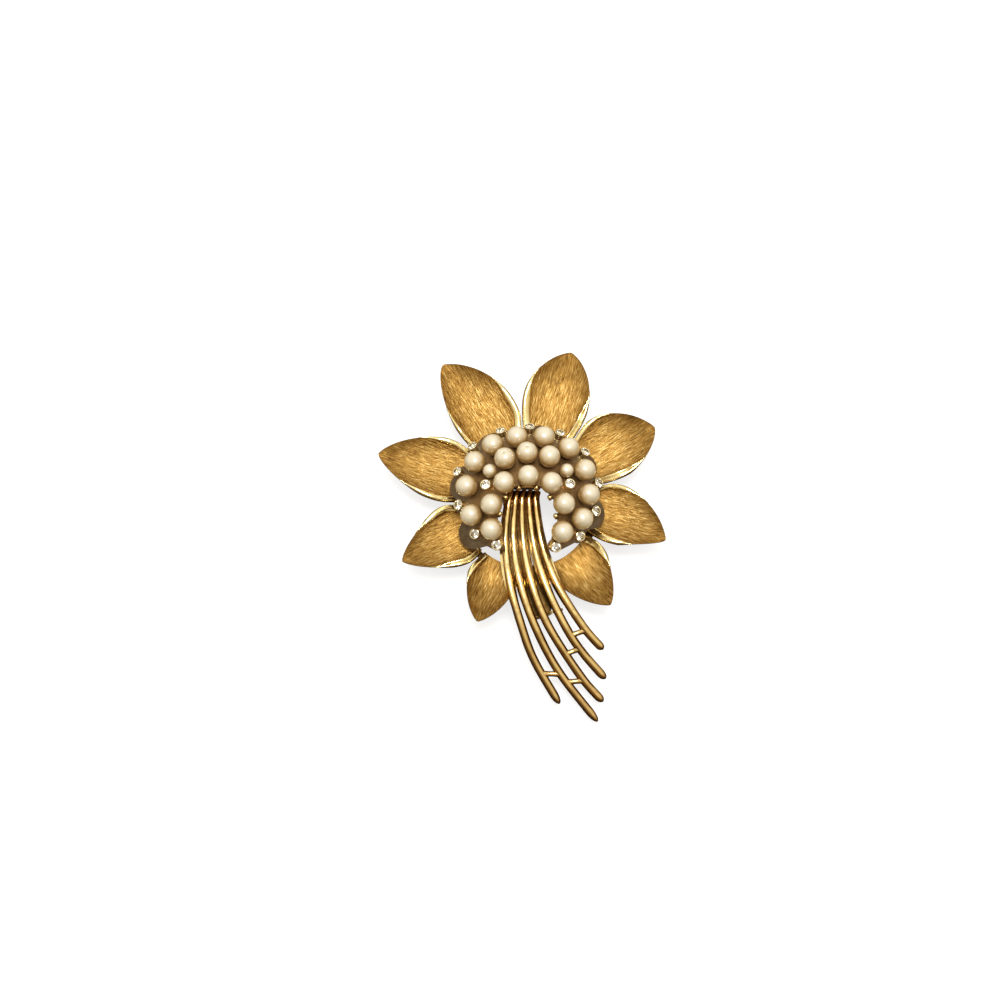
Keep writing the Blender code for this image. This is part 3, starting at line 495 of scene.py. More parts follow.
def sweep(bm, path, section):
    """Carry section(share) along a path, its second axis close to +Z."""
    rings = []
    last = len(path) - 1
    for i, point in enumerate(path):
        ahead = (path[min(i + 1, last)] - path[max(i - 1, 0)]).normalized()
        up = Vector((0.0, 0.0, 1.0)) if abs(ahead.z) < 0.9 else Vector((0.0, 1.0, 0.0))
        side = ahead.cross(up).normalized()
        up = side.cross(ahead)
        outline = section(i / last)
        rings.append([bm.verts.new(point + side * a + up * b) for a, b in outline])
    bridge(bm, rings)


def circle(radius, sides):
    """A round section for sweep."""
    outline = [(radius * cos(2 * pi * k / sides), radius * sin(2 * pi * k / sides)) for k in range(sides)]
    return lambda share: outline


def turned(bm, profile, sides, place=Matrix()):
    """A closed solid turned about z from (radius, height) points; radius 0 closes an end."""
    rings = []
    for radius, height in profile:
        if radius < 1e-6:
            rings.append([bm.verts.new(place @ Vector((0.0, 0.0, height)))])
            continue
        rings.append([bm.verts.new(place @ Vector((radius * cos(2 * pi * k / sides),
                                                   radius * sin(2 * pi * k / sides), height)))
                      for k in range(sides)])
    for a, b in zip(rings, rings[1:]):
        for j in range(sides):
            k = (j + 1) % sides
            if len(a) == 1:
                bm.faces.new((a[0], b[j], b[k]))
            elif len(b) == 1:
                bm.faces.new((a[j], b[0], a[k]))
            else:
                bm.faces.new((a[j], b[j], b[k], a[k]))


def prism(bm, outline, low, high, axis="Z", place=Matrix()):
    """A flat outline carried from low to high along an axis."""
    def spot(a, b, c):
        return Vector({"Z": (a, b, c), "X": (c, a, b), "Y": (a, c, b)}[axis])
    bridge(bm, [[bm.verts.new(place @ spot(a, b, c)) for a, b in outline] for c in (low, high)])


def rectangle(x_low, x_high, y_low, y_high):
    return [(x_low, y_low), (x_high, y_low), (x_high, y_high), (x_low, y_high)]


def arc(radius, start, end, steps, centre=(0.0, 0.0)):
    angles = [radians(start + (end - start) * k / steps) for k in range(steps + 1)]
    return [(centre[0] + radius * cos(a), centre[1] + radius * sin(a)) for a in angles]


def dome_height(radius):
    """How high the crown's face stands at a distance from the flower's centre."""
    return DOME_TOP - DOME_RADIUS + sqrt(DOME_RADIUS ** 2 - radius ** 2)


def dome_frame(bearing, radius, lift=0.0):
    """Frame on the crown's face: z out of the dome, x down the slope."""
    angle, tilt = radians(bearing), asin(radius / DOME_RADIUS)
    outward = Vector((sin(tilt) * cos(angle), sin(tilt) * sin(angle), cos(tilt)))
    point = Vector((radius * cos(angle), radius * sin(angle), dome_height(radius))) + outward * lift
    return Matrix.Translation(point) @ Matrix.Rotation(angle, 4, "Z") @ Matrix.Rotation(tilt, 4, "Y")


def ease(low, high, value):
    """0 below low, 1 above high, with a smooth step between them."""
    t = min(max((value - low) / (high - low), 0.0), 1.0)
    return t * t * (3 - 2 * t)


def softer(a, b, width=0.35):
    """The smaller of two numbers, with the corner between them rounded."""
    return -width * log(exp(-a / width) + exp(-b / width))


def wobble(x, y, z, scale):
    """Smooth seeded noise between -1 and 1."""
    return noise.noise(Vector((x, y, z)) * scale)


# ---------- petals
def petal_swell(share, widest, fullness):
    """A petal's width along its length, as a share of its widest."""
    if share < widest:
        return 1 - 0.22 * ((widest - share) / widest) ** 2
    return max(1 - ((share - widest) / (1 - widest)) ** fullness, 0.0) ** 0.75


def petal_side(along, half, middle, limit_angle, root):
    """A petal's reach to one side, held back from the seam with its neighbour."""
    seam = tan(radians(min(limit_angle, 75)))
    wide = softer(half + middle, along * seam - SEAM_GAP)
    drawn_in = root * (PETAL_ROOT_RADIUS - sqrt(PETAL_ROOT_RADIUS ** 2 - min(wide, 6.0) ** 2))
    return softer(half + middle, (along - drawn_in) * seam - SEAM_GAP)


def petal_point(index, share, across):
    """A point on a petal's front in the petal's own frame: x along its bearing, across from -1 to 1."""
    bearing, reach, left_half, right_half, widest, fullness, lean = PETALS[index][1:]
    left_seam, right_seam = PETAL_SEAMS[index], PETAL_SEAMS[(index + 1) % len(PETALS)]
    if left_seam < bearing:
        left_seam += 360
    along = PETAL_ROOT_RADIUS + share * (reach - PETAL_ROOT_RADIUS)
    middle = lean * (1 - share ** 4)
    swell = petal_swell(share, widest, fullness)
    root = 1 - ease(0.0, 0.35, share)
    left = petal_side(along, left_half * swell, middle, left_seam - bearing, root)
    right = petal_side(along, right_half * swell, -middle, bearing - right_seam, root)
    offset = -right + (across + 1) / 2 * (left + right)
    cup = PETAL_CUP * swell ** 1.5 * (0.30 + 0.70 * (1 - root))
    height = PETAL_ROOT_Z - PETAL_DIP * sin(pi * min(share / 0.9, 1.0)) + PETAL_TIP_RISE * share ** 2.2
    along -= root * (PETAL_ROOT_RADIUS - sqrt(PETAL_ROOT_RADIUS ** 2 - offset ** 2))
    return Vector((along, offset, height + cup * across ** 2))


def petal_face(index, rows=60, columns=40):
    """The brushed petal: a thick cupped leaf with a slightly hammered face."""
    name, bearing = PETALS[index][:2]
    bm = bmesh.new()
    grain = bm.loops.layers.uv.new("grain")
    place = bm.loops.layers.uv.new("place")
    spots = {}

    def leaf(sink):
        lines = []
        for i in range(rows):
            share = 1 - (1 - i / rows) ** 1.15
            line = []
            for j in range(columns + 1):
                across = -1 + 2 * j / columns
                p = petal_point(index, share, across)
                if sink:
                    p.z -= sink * (1 - 0.45 * ease(0.86, 1.0, abs(across)))
                else:
                    p.z += 0.045 * wobble(p.x, p.y * 1.6, index * 7.0, 0.45)
                    p.z += 0.018 * wobble(p.x * 0.5, p.y * 2.0, index * 3.0, 1.6)
                v = bm.verts.new(p)
                spots[v] = ((p.x, p.y + index * 40.0), (share, (across + 1) / 2))
                line.append(v)
            lines.append(line)
        p = petal_point(index, 1.0, 0.0)
        p.z -= sink * 0.5
        tip = bm.verts.new(p)
        spots[tip] = ((p.x, p.y + index * 40.0), (1.0, 0.5))
        return lines, tip

    (top, top_tip), (low, low_tip) = leaf(0.0), leaf(PETAL_THICKNESS)
    for lines, tip in ((top, top_tip), (low, low_tip)):
        for a, b in zip(lines, lines[1:]):
            for j in range(columns):
                bm.faces.new((a[j], a[j + 1], b[j + 1], b[j]))
        for j in range(columns):
            bm.faces.new((lines[-1][j], lines[-1][j + 1], tip))
    for j in (0, columns):
        for i in range(rows - 1):
            bm.faces.new((top[i][j], low[i][j], low[i + 1][j], top[i + 1][j]))
        bm.faces.new((top[-1][j], top_tip, low_tip, low[-1][j]))
    for j in range(columns):
        bm.faces.new((top[0][j], top[0][j + 1], low[0][j + 1], low[0][j]))
    for face in bm.faces:
        for loop in face.loops:
            loop[grain].uv, loop[place].uv = spots[loop.vert]
    turn = AT_FLOWER @ Matrix.Rotation(radians(bearing), 4, "Z")
    piece_from(name + "_face", bm, petal_gold, name, place=turn, angle=50, bevel=0.06)


# A rim's section in shares of its width, outward, and of its height
PLAIN_RIM = ((0.04, -0.42), (0.10, -0.12), (0.09, 0.35), (-0.06, 0.80), (-0.40, 1.0), (-0.74, 0.86),
             (-0.93, 0.45), (-1.0, -0.06), (-1.0, -0.40))
TWIN_RIM = ((0.04, -0.42), (0.10, -0.12), (0.09, 0.20), (-0.06, 0.52), (-0.22, 0.60), (-0.38, 0.34),
            (-0.48, 0.10), (-0.56, 0.30), (-0.66, 0.88), (-0.80, 1.0), (-0.93, 0.62), (-1.0, -0.06),
            (-1.0, -0.40))
RIM_HEIGHT, RIM_FULL_WIDTH = 0.34, 0.55


def petal_rim(index, side, end, width, twin, steps=60):
    """A polished rim along one edge: it rises from the brushed face and tapers out towards the tip."""
    name, bearing = PETALS[index][:2]
    bm = bmesh.new()
    rings = []
    for i in range(steps + 1):
        share = end * i / steps
        fade = 1 - ease(0.45, 1.0, i / steps)
        wave = 1 + 0.10 * wobble(i * 0.16, index * 5.0, side * 3.0, 1.0)
        w = max(width * wave * fade * (0.35 + 0.65 * ease(0.0, 0.06, i / steps)), 0.03)
        h = RIM_HEIGHT * min(1.0, w / RIM_FULL_WIDTH)
        edge = petal_point(index, share, side)
        before = petal_point(index, max(share - 0.01, 0.0), side)
        ahead = (petal_point(index, share + 0.01, side) - before).normalized()
        across = (edge - petal_point(index, share, side * 0.85)).normalized()
        out = (across - ahead * across.dot(ahead)).normalized()
        up = ahead.cross(out)
        if up.z < 0:
            up = -up
        ring = []
        for o, n in TWIN_RIM if twin else PLAIN_RIM:
            across_by = o * w if o < 0 else o * min(1.0, 0.3 + w)
            rise_by = n * h if n > 0 else n * min(1.0, 0.25 + w)
            ring.append(bm.verts.new(edge + out * across_by + up * rise_by))
        rings.append(ring)
    bridge(bm, rings)
    turn = AT_FLOWER @ Matrix.Rotation(radians(bearing), 4, "Z")
    label = name + ("_rim_left" if side > 0 else "_rim_right")
    piece_from(label, bm, rim_gold, name, place=turn, angle=55)


for number, sides in enumerate(RIMS):
    petal_face(number)
    for side, rim in zip((1, -1), sides):
        if rim:
            petal_rim(number, side, *rim)


# ---------- ring with the tongue and the pad
def ring_section(inner):
    """The ring's rounded section as (radius, height) points."""
    outer = RING_OUTER
    return (
        (inner, RING_BACK + 0.12), (inner - 0.02, 3.75), (inner + 0.04, RING_FRONT - 0.12),
        (inner + 0.16, RING_FRONT), (outer - 0.16, RING_FRONT), (outer - 0.04, RING_FRONT - 0.12),
        (outer, 3.7), (outer - 0.03, RING_BACK + 0.08), (outer - 0.12, RING_BACK), (inner + 0.10, RING_BACK),
    )


def ring_band(sides=144):
    """The ring behind the petals' roots, narrower where the stem passes in front of it."""
    bm = bmesh.new()
    loops = []
    for k in range(sides):
        a = 2 * pi * k / sides
        aside = abs((degrees(a) - RING_OPEN_BEARING + 180) % 360 - 180)
        opened = 1 - ease(RING_OPEN_HALF, RING_OPEN_HALF + RING_OPEN_BLEND, aside)
        inner = RING_INNER + (RING_OPEN_INNER - RING_INNER) * opened
        loops.append([bm.verts.new((r * cos(a), r * sin(a), z)) for r, z in ring_section(inner)])
    bridge(bm, loops, closed=True)
    piece_from("ring_band", bm, shade_darkened_gold, "petal_ring", angle=35)


def ring_tongue_and_pad():
    """The tongue that carries the catch, and the pad that carries the hinge."""
    bm = bmesh.new()
    half = TONGUE_WIDTH / 2
    round_from = TONGUE_END - half
    outline = [(TONGUE_START, -half), (round_from, -half)]
    outline += arc(half, -80, 80, 16, (round_from, 0.0)) + [(round_from, half), (TONGUE_START, half)]
    for shape in (outline, rectangle(*HINGE_PAD)):
        prism(bm, shape, RING_BACK + 0.02, RING_FRONT - 0.03)
    piece_from("ring_tongue_and_pad", bm, shade_darkened_gold, "petal_ring", place=AT_PIN, angle=35,
               bevel=0.08)


ring_band()
ring_tongue_and_pad()


# ---------- crown plate
def arch_edge(share, inset=0.0):
    """The arch's edge, from the right leg's end over the top to the left leg's end."""
    radius = ARCH_RADIUS - inset
    run = ARCH_START + (ARCH_END - ARCH_START) * min(max((share - 0.1) / 0.8, 0.0), 1.0)
    spot = Vector((radius * cos(radians(run)), ARCH_Y + radius * sin(radians(run))))
    if 0.1 <= share <= 0.9:
        return spot
    side = 1.0 if share < 0.5 else -1.0
    end = Vector((side * (LEG_END_X - inset), LEG_END_Y))
    return end.lerp(spot, min(share, 1 - share) / 0.1)


def plate_outer(share):
    """The plate's scalloped outer edge."""
    bearing = radians(-60 + 300 * share)
    reach = PLATE_RADIUS - 0.75 * (1 - ease(0.0, 0.10, min(share, 1 - share)))
    for middle in SCALLOPS:
        aside = SCALLOP_CENTRE * sin(bearing - radians(middle))
        if cos(bearing - radians(middle)) > 0 and abs(aside) < SCALLOP_RADIUS:
            lobe = SCALLOP_CENTRE * cos(bearing - radians(middle)) + sqrt(SCALLOP_RADIUS ** 2 - aside ** 2)
            reach = max(reach, lobe)
    return Vector((reach * cos(bearing), reach * sin(bearing)))


def crown_face(bm, sink):
    """A grid over the plate, from the arch out to the scallops, set back by sink into the dome."""
    grid = []
    for i in range(CROWN_STEPS + 1):
        inner, outer = arch_edge(i / CROWN_STEPS), plate_outer(i / CROWN_STEPS)
        line = []
        for j in range(CROWN_SPANS + 1):
            p = inner.lerp(outer, j / CROWN_SPANS)
            normal = Vector((p.x, p.y, sqrt(DOME_RADIUS ** 2 - p.length_squared))) / DOME_RADIUS
            line.append(bm.verts.new(Vector((p.x, p.y, dome_height(p.length))) - normal * sink))
        grid.append(line)
    for a, b in zip(grid, grid[1:]):
        for j in range(CROWN_SPANS):
            bm.faces.new((a[j], a[j + 1], b[j + 1], b[j]))
    return grid


def crown_dome():
    """The domed plate, with a round lobe under each stone."""
    bm = bmesh.new()
    top, low = crown_face(bm, 0.0), crown_face(bm, PLATE_THICKNESS)
    for i in range(CROWN_STEPS):
        for j in (0, CROWN_SPANS):
            bm.faces.new((top[i][j], top[i + 1][j], low[i + 1][j], low[i][j]))
    for i in (0, CROWN_STEPS):
        for j in range(CROWN_SPANS):
            bm.faces.new((top[i][j], top[i][j + 1], low[i][j + 1], low[i][j]))
    for k, (bearing, radius) in enumerate(STONES):
        lobe = END_LOBE_RADIUS if k in END_STONES else LOBE_RADIUS
        profile = ((0.0, -0.55), (lobe - 0.06, -0.55), (lobe, -0.49), (lobe, -0.02), (lobe - 0.07, 0.03),
                   (0.0, 0.03))
        turned(bm, profile, 36, dome_frame(bearing, radius))
    piece_from("crown_dome", bm, crown_metal, "crown_plate", angle=30, bevel=0.07)


crown_dome()


# ---------- collets and stones
def collet(k, place):
    """A tube setting with a soft rim and a hollow under the stone."""
    bm = bmesh.new()
    rim, bore, top = COLLET_RADIUS, COLLET_BORE, COLLET_HEIGHT
    profile = ((0.0, -0.02), (rim + 0.05, -0.02), (rim + 0.02, 0.10), (rim - 0.03, 0.30),
               (rim - 0.02, top - 0.22), (rim, top - 0.10), (rim - 0.02, top - 0.03), (rim - 0.07, top),
               (bore - 0.01, top - 0.02), (bore - 0.03, top - 0.09), (bore - 0.02, top - 0.20),
               (0.45, 0.35), (0.0, 0.20))
    turned(bm, profile, 40)
    piece_from(f"collet_{k + 1:02d}", bm, collet_gold, "crown_plate", place=place, angle=30)


def brilliant(k, place):
    """A round brilliant: table, star and girdle facets above, pavilion facets down to the culet."""
    bm = bmesh.new()

    def ring(count, radius, height, shift=0.0):
        angles = [2 * pi * (j + shift) / count for j in range(count)]
        return [bm.verts.new((radius * cos(a), radius * sin(a), height)) for a in angles]

    table, star = ring(8, 0.37, 0.20, 0.5), ring(8, 0.54, 0.125)
    girdle, under = ring(16, STONE_RADIUS, 0.02), ring(16, STONE_RADIUS, -0.02)
    pavilion = ring(8, 0.33, -0.27, 0.5)
    culet = bm.verts.new((0.0, 0.0, -0.52))
    bm.faces.new(table)
    for j in range(8):
        a, b = table[j - 1], table[j]
        s, t = star[j], star[(j + 1) % 8]
        g, h, m = girdle[2 * j], girdle[(2 * j + 2) % 16], girdle[2 * j + 1]
        u, w, x = under[2 * j], under[(2 * j + 2) % 16], under[2 * j + 1]
        p, q = pavilion[j], pavilion[j - 1]
        crown = ((a, b, s), (b, s, m, t), (s, g, m), (t, m, h))
        for facet in crown + ((u, x, p), (x, w, p), (u, p, q), (q, p, culet)):
            bm.faces.new(facet)
    for j in range(16):
        bm.faces.new((girdle[j], girdle[(j + 1) % 16], under[(j + 1) % 16], under[j]))
    node = f"diamond_{k + 1:02d}"
    spin = Matrix.Translation((0, 0, COLLET_HEIGHT - STONE_SINK)) @ Matrix.Rotation(0.7 * k, 4, "Z")
    piece_from(node + "_cut", bm, diamond_glass, node, place=place @ spin, angle=0)


for k, (bearing, radius) in enumerate(STONES):
    seat = AT_FLOWER @ dome_frame(bearing, radius)
    collet(k, seat)
    brilliant(k, seat)


# ---------- pearls
def pearl(k, bearing, radius):
    """A pearl that is a little out of round; two of them show the mouth of a drilled hole."""
    size = PEARL_RADIUS if k < FIRST_SMALL_PEARL else SMALL_PEARL_RADIUS
    bm = bmesh.new()
    bmesh.ops.create_uvsphere(bm, u_segments=56, v_segments=36, radius=1.0)
    for v in bm.verts:
        p = v.co.normalized()
        bumpy = 0.010 * wobble(p.x, p.y, p.z + 9.0 * k, 1.3) + 0.004 * wobble(p.x + 5.0 * k, p.y, p.z, 4.0)
        squeeze = 1.0 - 0.012 * abs(p.z)
        v.co = p * size * (1.0 + bumpy) * squeeze
        away = hypot(p.x, p.y)
        if k in DRILLED and p.z > 0 and away < 0.16:
            v.co.z -= 0.22 * size * (1 - ease(0.05, 0.13, away))
    place = AT_FLOWER @ dome_frame(bearing, radius, size + PLAY)
    node = f"pearl_{k + 1:02d}"
    piece_from(node + "_nacre", bm, pearl_nacre, node, place=place, angle=80)


for k, (bearing, radius) in enumerate(PEARLS):
    pearl(k, bearing, radius)


# ---------- gallery
def prong_path(bearing):
    """A prong's route: from the inner rail, under the plate's edge, up into the arch."""
    a = radians(bearing)
    path = []
    for reach, rise in ((INNER_RAIL_OUTSET, -INNER_RAIL_DROP), (-BEAD_INSET, -INNER_RAIL_DROP + 0.1),
                        (-BEAD_INSET, BEAD_RISE)):
        x, y = (ARCH_RADIUS + reach) * cos(a), ARCH_Y + (ARCH_RADIUS + reach) * sin(a)
        path.append(Vector((x, y, dome_height(hypot(x, y)) + rise)))
    return path


def gallery():
    """Wirework between the ring and the crown: a rail on posts, an inner rail, and beaded prongs."""
    bm = bmesh.new()
    bearings = [radians(a) for a in range(RAIL_START, RAIL_END + 1, RAIL_STEP)]
    rail = [Vector((GALLERY_RADIUS * cos(a), GALLERY_RADIUS * sin(a), GALLERY_RAIL_Z)) for a in bearings]
    sweep(bm, rail, circle(RAIL_RADIUS, 14))
    top = dome_height(GALLERY_RADIUS) - PLATE_THICKNESS * 1.1
    post = ((0.0, 4.12), (0.34, 4.12), (0.34, 4.20), (POST_RADIUS, 4.36), (POST_RADIUS, top), (0.0, top))
    for bearing in POST_BEARINGS:
        a = radians(bearing)
        turned(bm, post, 14, Matrix.Translation((GALLERY_RADIUS * cos(a), GALLERY_RADIUS * sin(a), 0)))
    inner = [arch_edge(k / 54, -INNER_RAIL_OUTSET) for k in range(3, 52)]
    inner = [Vector((p.x, p.y, dome_height(p.length) - INNER_RAIL_DROP)) for p in inner]
    sweep(bm, [rail[0]] + inner + [rail[-1]], circle(INNER_RAIL_RADIUS, 12))
    for bearing in BEAD_BEARINGS:
        prong = prong_path(bearing)
        sweep(bm, prong, circle(PRONG_RADIUS, 12))
        bmesh.ops.create_uvsphere(bm, u_segments=24, v_segments=16, radius=BEAD_RADIUS,
                                  matrix=Matrix.Translation(prong[-1]))
    piece_from("gallery_wirework", bm, gallery_gold, "gallery")


gallery()


# ---------- stem spray
def strand_half_width(y):
    """A strand's half width, which grows from the collar down to STRAND_FULL_Y."""
    down = min(max((STRAND_TOP_Y - y) / (STRAND_TOP_Y - STRAND_FULL_Y), 0.0), 1.0)
    return STRAND_HALF_TOP + (STRAND_HALF - STRAND_HALF_TOP) * (1 - (1 - down) ** 1.5)


def strand_section(index, path):
    """A ridged wire with wandering facets, and a skirt that closes the gaps higher up."""
    def outline(share):
        y = path[round(share * (len(path) - 1))].y
        width = strand_half_width(y) * (1 + 0.03 * wobble(share * 9.0, index * 3.7, 0.0, 1.7))
        if share > STRAND_ROUND_FROM:
            width *= sqrt(max(1 - ((share - STRAND_ROUND_FROM) / 0.036) ** 2, 0.03))
        crest = 0.08 + 0.10 * wobble(share * 5.0, index * 9.1, 2.0, 1.2)
        skirt = 1 + (0.72 if index == 0 else 0.50) * ease(-18.0, -9.5, y)
        flat = 1 - 0.40 * ease(0.36, 0.76, share)
        shoulder = 0.72 * (0.6 + 0.4 * flat)
        left = ((crest, 1.0), (-0.42 * flat, 0.92), (-shoulder, 0.66), (-0.92, 0.22), (-0.98, -0.20),
                (-1.0, -0.56), (-0.96 * skirt, -0.76), (-0.60, -0.92))
        right = ((0.60, -0.92), (0.96 * skirt, -0.76), (1.0, -0.56), (0.98, -0.20), (0.92, 0.24),
                 (shoulder + 0.04, 0.67), (0.50 * flat, 0.92))
        return [(width * a, width * b) for a, b in left + right]
    return outline


def at_height(path, y):
    """The point where a path that runs down passes y."""
    for p, q in zip(path, path[1:]):
        if p.y >= y > q.y:
            return p.lerp(q, (p.y - y) / (p.y - q.y))
    return path[-1]


def crossbar_section(share):
    """Round, thicker towards both ends, where the bar is soldered to its strands."""
    return circle(CROSSBAR_RADIUS * (1.22 + 0.60 * abs(2 * share - 1) ** 2), 16)(share)


def strand_wire(index):
    """One strand of the stem."""
    name, bm = STRANDS[index][0], bmesh.new()
    sweep(bm, paths[index], strand_section(index, paths[index]))
    piece_from(name + "_wire", bm, stem_gold, name, angle=34)


def crossbar(index):
    """The short bar from a strand to its neighbour on the left."""
    y, rise = CROSSBAR_Y[index - 1], CROSSBAR_RISE[index - 1]
    here, there = at_height(paths[index], y + rise), at_height(paths[index - 1], y - rise)
    name, bm = STRANDS[index][0], bmesh.new()
    sweep(bm, [here.lerp(there, k / 24) for k in range(25)], crossbar_section)
    piece_from(name + "_crossbar", bm, stem_gold, name)


paths = [smooth_path(points, 26) for name, points in STRANDS]
for index in range(len(STRANDS)):
    strand_wire(index)
    if index:
        crossbar(index)
bm = bmesh.new()
prism(bm, rectangle(*COLLAR), COLLAR_BACK, COLLAR_FRONT)
piece_from("stem_collar_bar", bm, stem_gold, "stem_collar", angle=35, bevel=0.18)


# ---------- hinge, pin and catch
def hinge_plate_and_cheeks():
    """The hinge's plate under the ring's pad, and a cheek on each side of the pin's eye."""
    bm = bmesh.new()
    prism(bm, rectangle(*HINGE_PLATE), KNUCKLE_RADIUS + 0.1, FITTING_FRONT)
    cheek = arc(HINGE.z, 180, 360, 36) + [(1.4, FITTING_FRONT - 0.2), (-1.5, FITTING_FRONT - 0.2)]
    prism(bm, cheek, CHEEK_INSIDE, CHEEK_INSIDE + CHEEK_THICKNESS, "Y")
    prism(bm, cheek, -CHEEK_INSIDE - CHEEK_THICKNESS, -CHEEK_INSIDE, "Y")
    piece_from("hinge_plate_and_cheeks", bm, fitting_gold, "hinge_base", place=AT_HINGE,
               angle=30, bevel=0.07)


def hinge_rivet():
    """The rivet through both cheeks, with a domed head at each end."""
    reach, head = CHEEK_INSIDE + CHEEK_THICKNESS + 0.18, RIVET_RADIUS + 0.25
    half = ((RIVET_RADIUS, reach - 0.15), (head, reach - 0.14), (head, reach - 0.06),
            (head * 0.85, reach + 0.04), (head * 0.45, reach + 0.12), (0.0, reach + 0.14))
    bm = bmesh.new()
    turned(bm, tuple((r, -z) for r, z in reversed(half)) + half, 36, SIDEWAYS)
    piece_from("hinge_rivet_turned", bm, fitting_gold, "hinge_rivet", place=AT_HINGE)


def pin_wire_and_eye():
    """The pin: an eye round the rivet, and a wire that tapers to a point."""
    bm = bmesh.new()
    eye, half = RIVET_RADIUS + 0.06, KNUCKLE_WIDTH / 2
    section = ((eye, -half), (KNUCKLE_RADIUS - 0.1, -half), (KNUCKLE_RADIUS, 0.1 - half),
               (KNUCKLE_RADIUS, half - 0.1), (KNUCKLE_RADIUS - 0.1, half), (eye, half))
    loops = []
    for k in range(48):
        a = 2 * pi * k / 48
        loops.append([bm.verts.new((r * cos(a), w, r * sin(a))) for r, w in section])
    bridge(bm, loops, closed=True)
    wire = [(0.0, 1.02), (PIN_RADIUS * 1.25, 1.02), (PIN_RADIUS * 1.15, 1.6), (PIN_RADIUS, 2.6)]
    wire += [(PIN_RADIUS - 0.12 * k / 6, PIN_TAPER_FROM + 6.1 * k / 6) for k in range(7)]
    wire += [(0.21, PIN_LENGTH - 1.4), (0.11, PIN_LENGTH - 0.6), (0.05, PIN_LENGTH - 0.12), (0.0, PIN_LENGTH)]
    turned(bm, wire, 28, FORWARD)
    piece_from("pin_wire_and_eye", bm, pin_steel, "pin_stem", body="pin", place=AT_HINGE,
               angle=35)


def catch_housing():
    """The catch's fixed half: a split tube with its mouth open to the back, on a foot."""
    bm = bmesh.new()
    prism(bm, arc(HOUSING_OUTER, -40, 220, 56) + arc(HOUSING_INNER, 220, -40, 56), -0.7, 0.7, "X")
    prism(bm, rectangle(*CATCH_FOOT), 1.3, FITTING_FRONT)
    piece_from("catch_housing", bm, fitting_gold, "catch_base", place=AT_CATCH, angle=30,
               bevel=0.06)


def catch_sleeve_and_lever():
    """The catch's turning half: a split sleeve with a flange at each end, and the lever that rolls it."""
    bm = bmesh.new()
    half = ((0.78, ROTOR_OUTER), (0.78, ROTOR_FLANGE), (1.22, ROTOR_FLANGE), (1.22, ROTOR_INNER))
    section = tuple((-x, r) for x, r in reversed(half)) + half
    loops = []
    for k in range(61):
        a = radians(ROTOR_MOUTH + 260 * k / 60)
        loops.append([bm.verts.new((x, r * cos(a), r * sin(a))) for x, r in section])
    bridge(bm, loops)
    root = ROTOR_OUTER - 0.1
    lever = [(root, -LEVER_HALF), (LEVER_END, -LEVER_HALF)]
    lever += arc(LEVER_TIP_RADIUS, -60, 60, 10, (2.93, 0.0)) + [(LEVER_END, LEVER_HALF), (root, LEVER_HALF)]
    prism(bm, lever, 0.83, 1.17, "X", Matrix.Rotation(radians(-10), 4, "X"))
    piece_from("catch_sleeve_and_lever", bm, fitting_gold, "catch_rotor", body="rotor",
               place=AT_CATCH, angle=30, bevel=0.05)


hinge_plate_and_cheeks()
hinge_rivet()
pin_wire_and_eye()
catch_housing()
catch_sleeve_and_lever()


# ---------- floor, light and camera
def white_floor():
    """A wide white floor that doesn't show in polished metal."""
    bm = bmesh.new()
    bmesh.ops.create_grid(bm, x_segments=1, y_segments=1, size=8.0)
    mesh = bpy.data.meshes.new("floor")
    bm.to_mesh(mesh)
    bm.free()
    floor = bpy.data.objects.new("floor", mesh)
    bpy.context.scene.collection.objects.link(floor)
    white, nodes, links, shader = shader_tree("floor_white", Roughness=0.9)
    shader.inputs["Base Color"].default_value = (0.35, 0.35, 0.35, 1.0)
    shader.inputs["Emission Color"].default_value = (1.0, 1.0, 1.0, 1.0)
    shader.inputs["Emission Strength"].default_value = 0.72
    mesh.materials.append(white)
    floor.visible_glossy = False


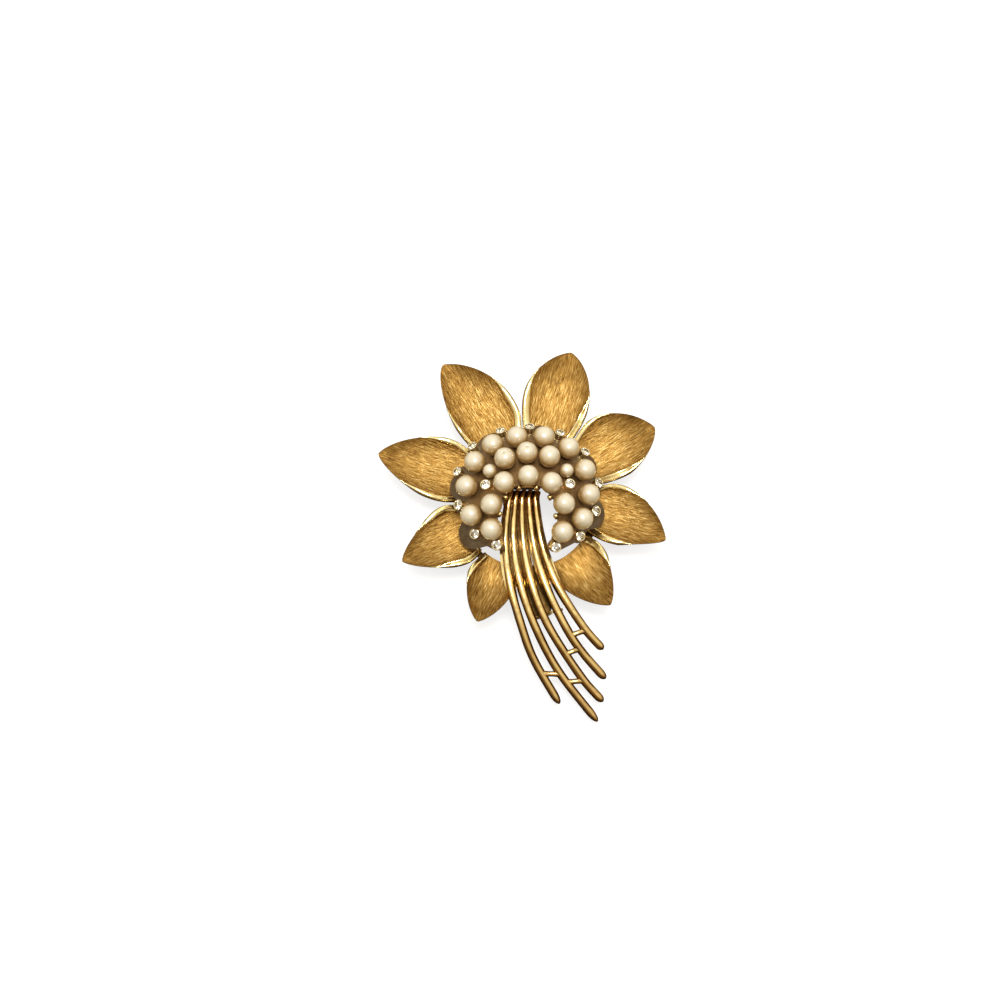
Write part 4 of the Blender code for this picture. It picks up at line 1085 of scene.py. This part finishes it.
def studio_world():
    """The room: bright above and behind the flower's top, dark low down and on the near side."""
    world = bpy.data.worlds.new("studio")
    bpy.context.scene.world = world
    world.use_nodes = True
    nodes, links = world.node_tree.nodes, world.node_tree.links
    towards = nodes.new("ShaderNodeVectorMath")
    towards.operation = "DOT_PRODUCT"
    towards.inputs[1].default_value = (0.0, 0.56, 0.828)
    links.new(nodes.new("ShaderNodeTexCoord").outputs["Generated"], towards.inputs[0])
    share = to_range(nodes, links, towards.outputs["Value"], -1.0, 1.0, 0.0, 1.0)
    room = ramp(nodes, links, share, (
        (0.0, (0.08, 0.055, 0.03)), (0.42, (0.20, 0.15, 0.09)), (0.56, (0.50, 0.43, 0.33)),
        (0.76, (0.86, 0.81, 0.72)), (1.0, (1.0, 0.98, 0.93))))
    links.new(room, nodes["Background"].inputs["Color"])
    nodes["Background"].inputs["Strength"].default_value = 1.05


def softbox(name, place, size, power, mirrored=True):
    """A rectangular soft light over the brooch; unmirrored, it lights without showing in polished metal."""
    light = bpy.data.lights.new(name, "AREA")
    light.shape, light.size, light.size_y, light.energy = "RECTANGLE", size[0], size[1], power
    made = bpy.data.objects.new(name, light)
    made.location = place
    made.rotation_euler = (LIGHT_AIM - Vector(place)).to_track_quat("-Z", "Y").to_euler()
    made.visible_glossy = mirrored
    bpy.context.scene.collection.objects.link(made)


def look_from(tilt, distance, aim, view_width):
    """The camera, leaning towards the stem, with a view of this width at the point that it looks at."""
    data = bpy.data.cameras.new("camera")
    data.sensor_width = 36.0
    data.lens = data.sensor_width * distance / view_width
    data.clip_start = 0.01
    camera = bpy.data.objects.new("camera", data)
    camera.location = aim + Vector((0.0, -sin(tilt), cos(tilt))) * distance
    camera.rotation_euler = (tilt, 0.0, 0.0)
    bpy.context.scene.collection.objects.link(camera)
    bpy.context.scene.camera = camera


# In metres. The view's middle lies left of the origin and up the tilted view, by shares of the view's width.
LIGHT_AIM = Vector((0.0, 0.0, 0.005))
VIEW_TILT, VIEW_DISTANCE, VIEW_WIDTH, MIDDLE_HEIGHT = radians(14.0), 0.350, 0.1555, 0.0045
MIDDLE_LEFT, MIDDLE_UP = 0.0225, 0.0355

white_floor()
studio_world()
softbox("key", (0.015, 0.06, 0.42), (0.30, 0.26), 1.0, mirrored=False)
softbox("spark", (0.01, 0.035, 0.42), (0.12, 0.10), 0.85)
left, up = MIDDLE_LEFT * VIEW_WIDTH, MIDDLE_UP * VIEW_WIDTH
view_middle = Vector((-left, up * cos(VIEW_TILT), MIDDLE_HEIGHT + up * sin(VIEW_TILT)))
look_from(VIEW_TILT, VIEW_DISTANCE, view_middle, VIEW_WIDTH)
bpy.context.scene.view_settings.view_transform = "Standard"
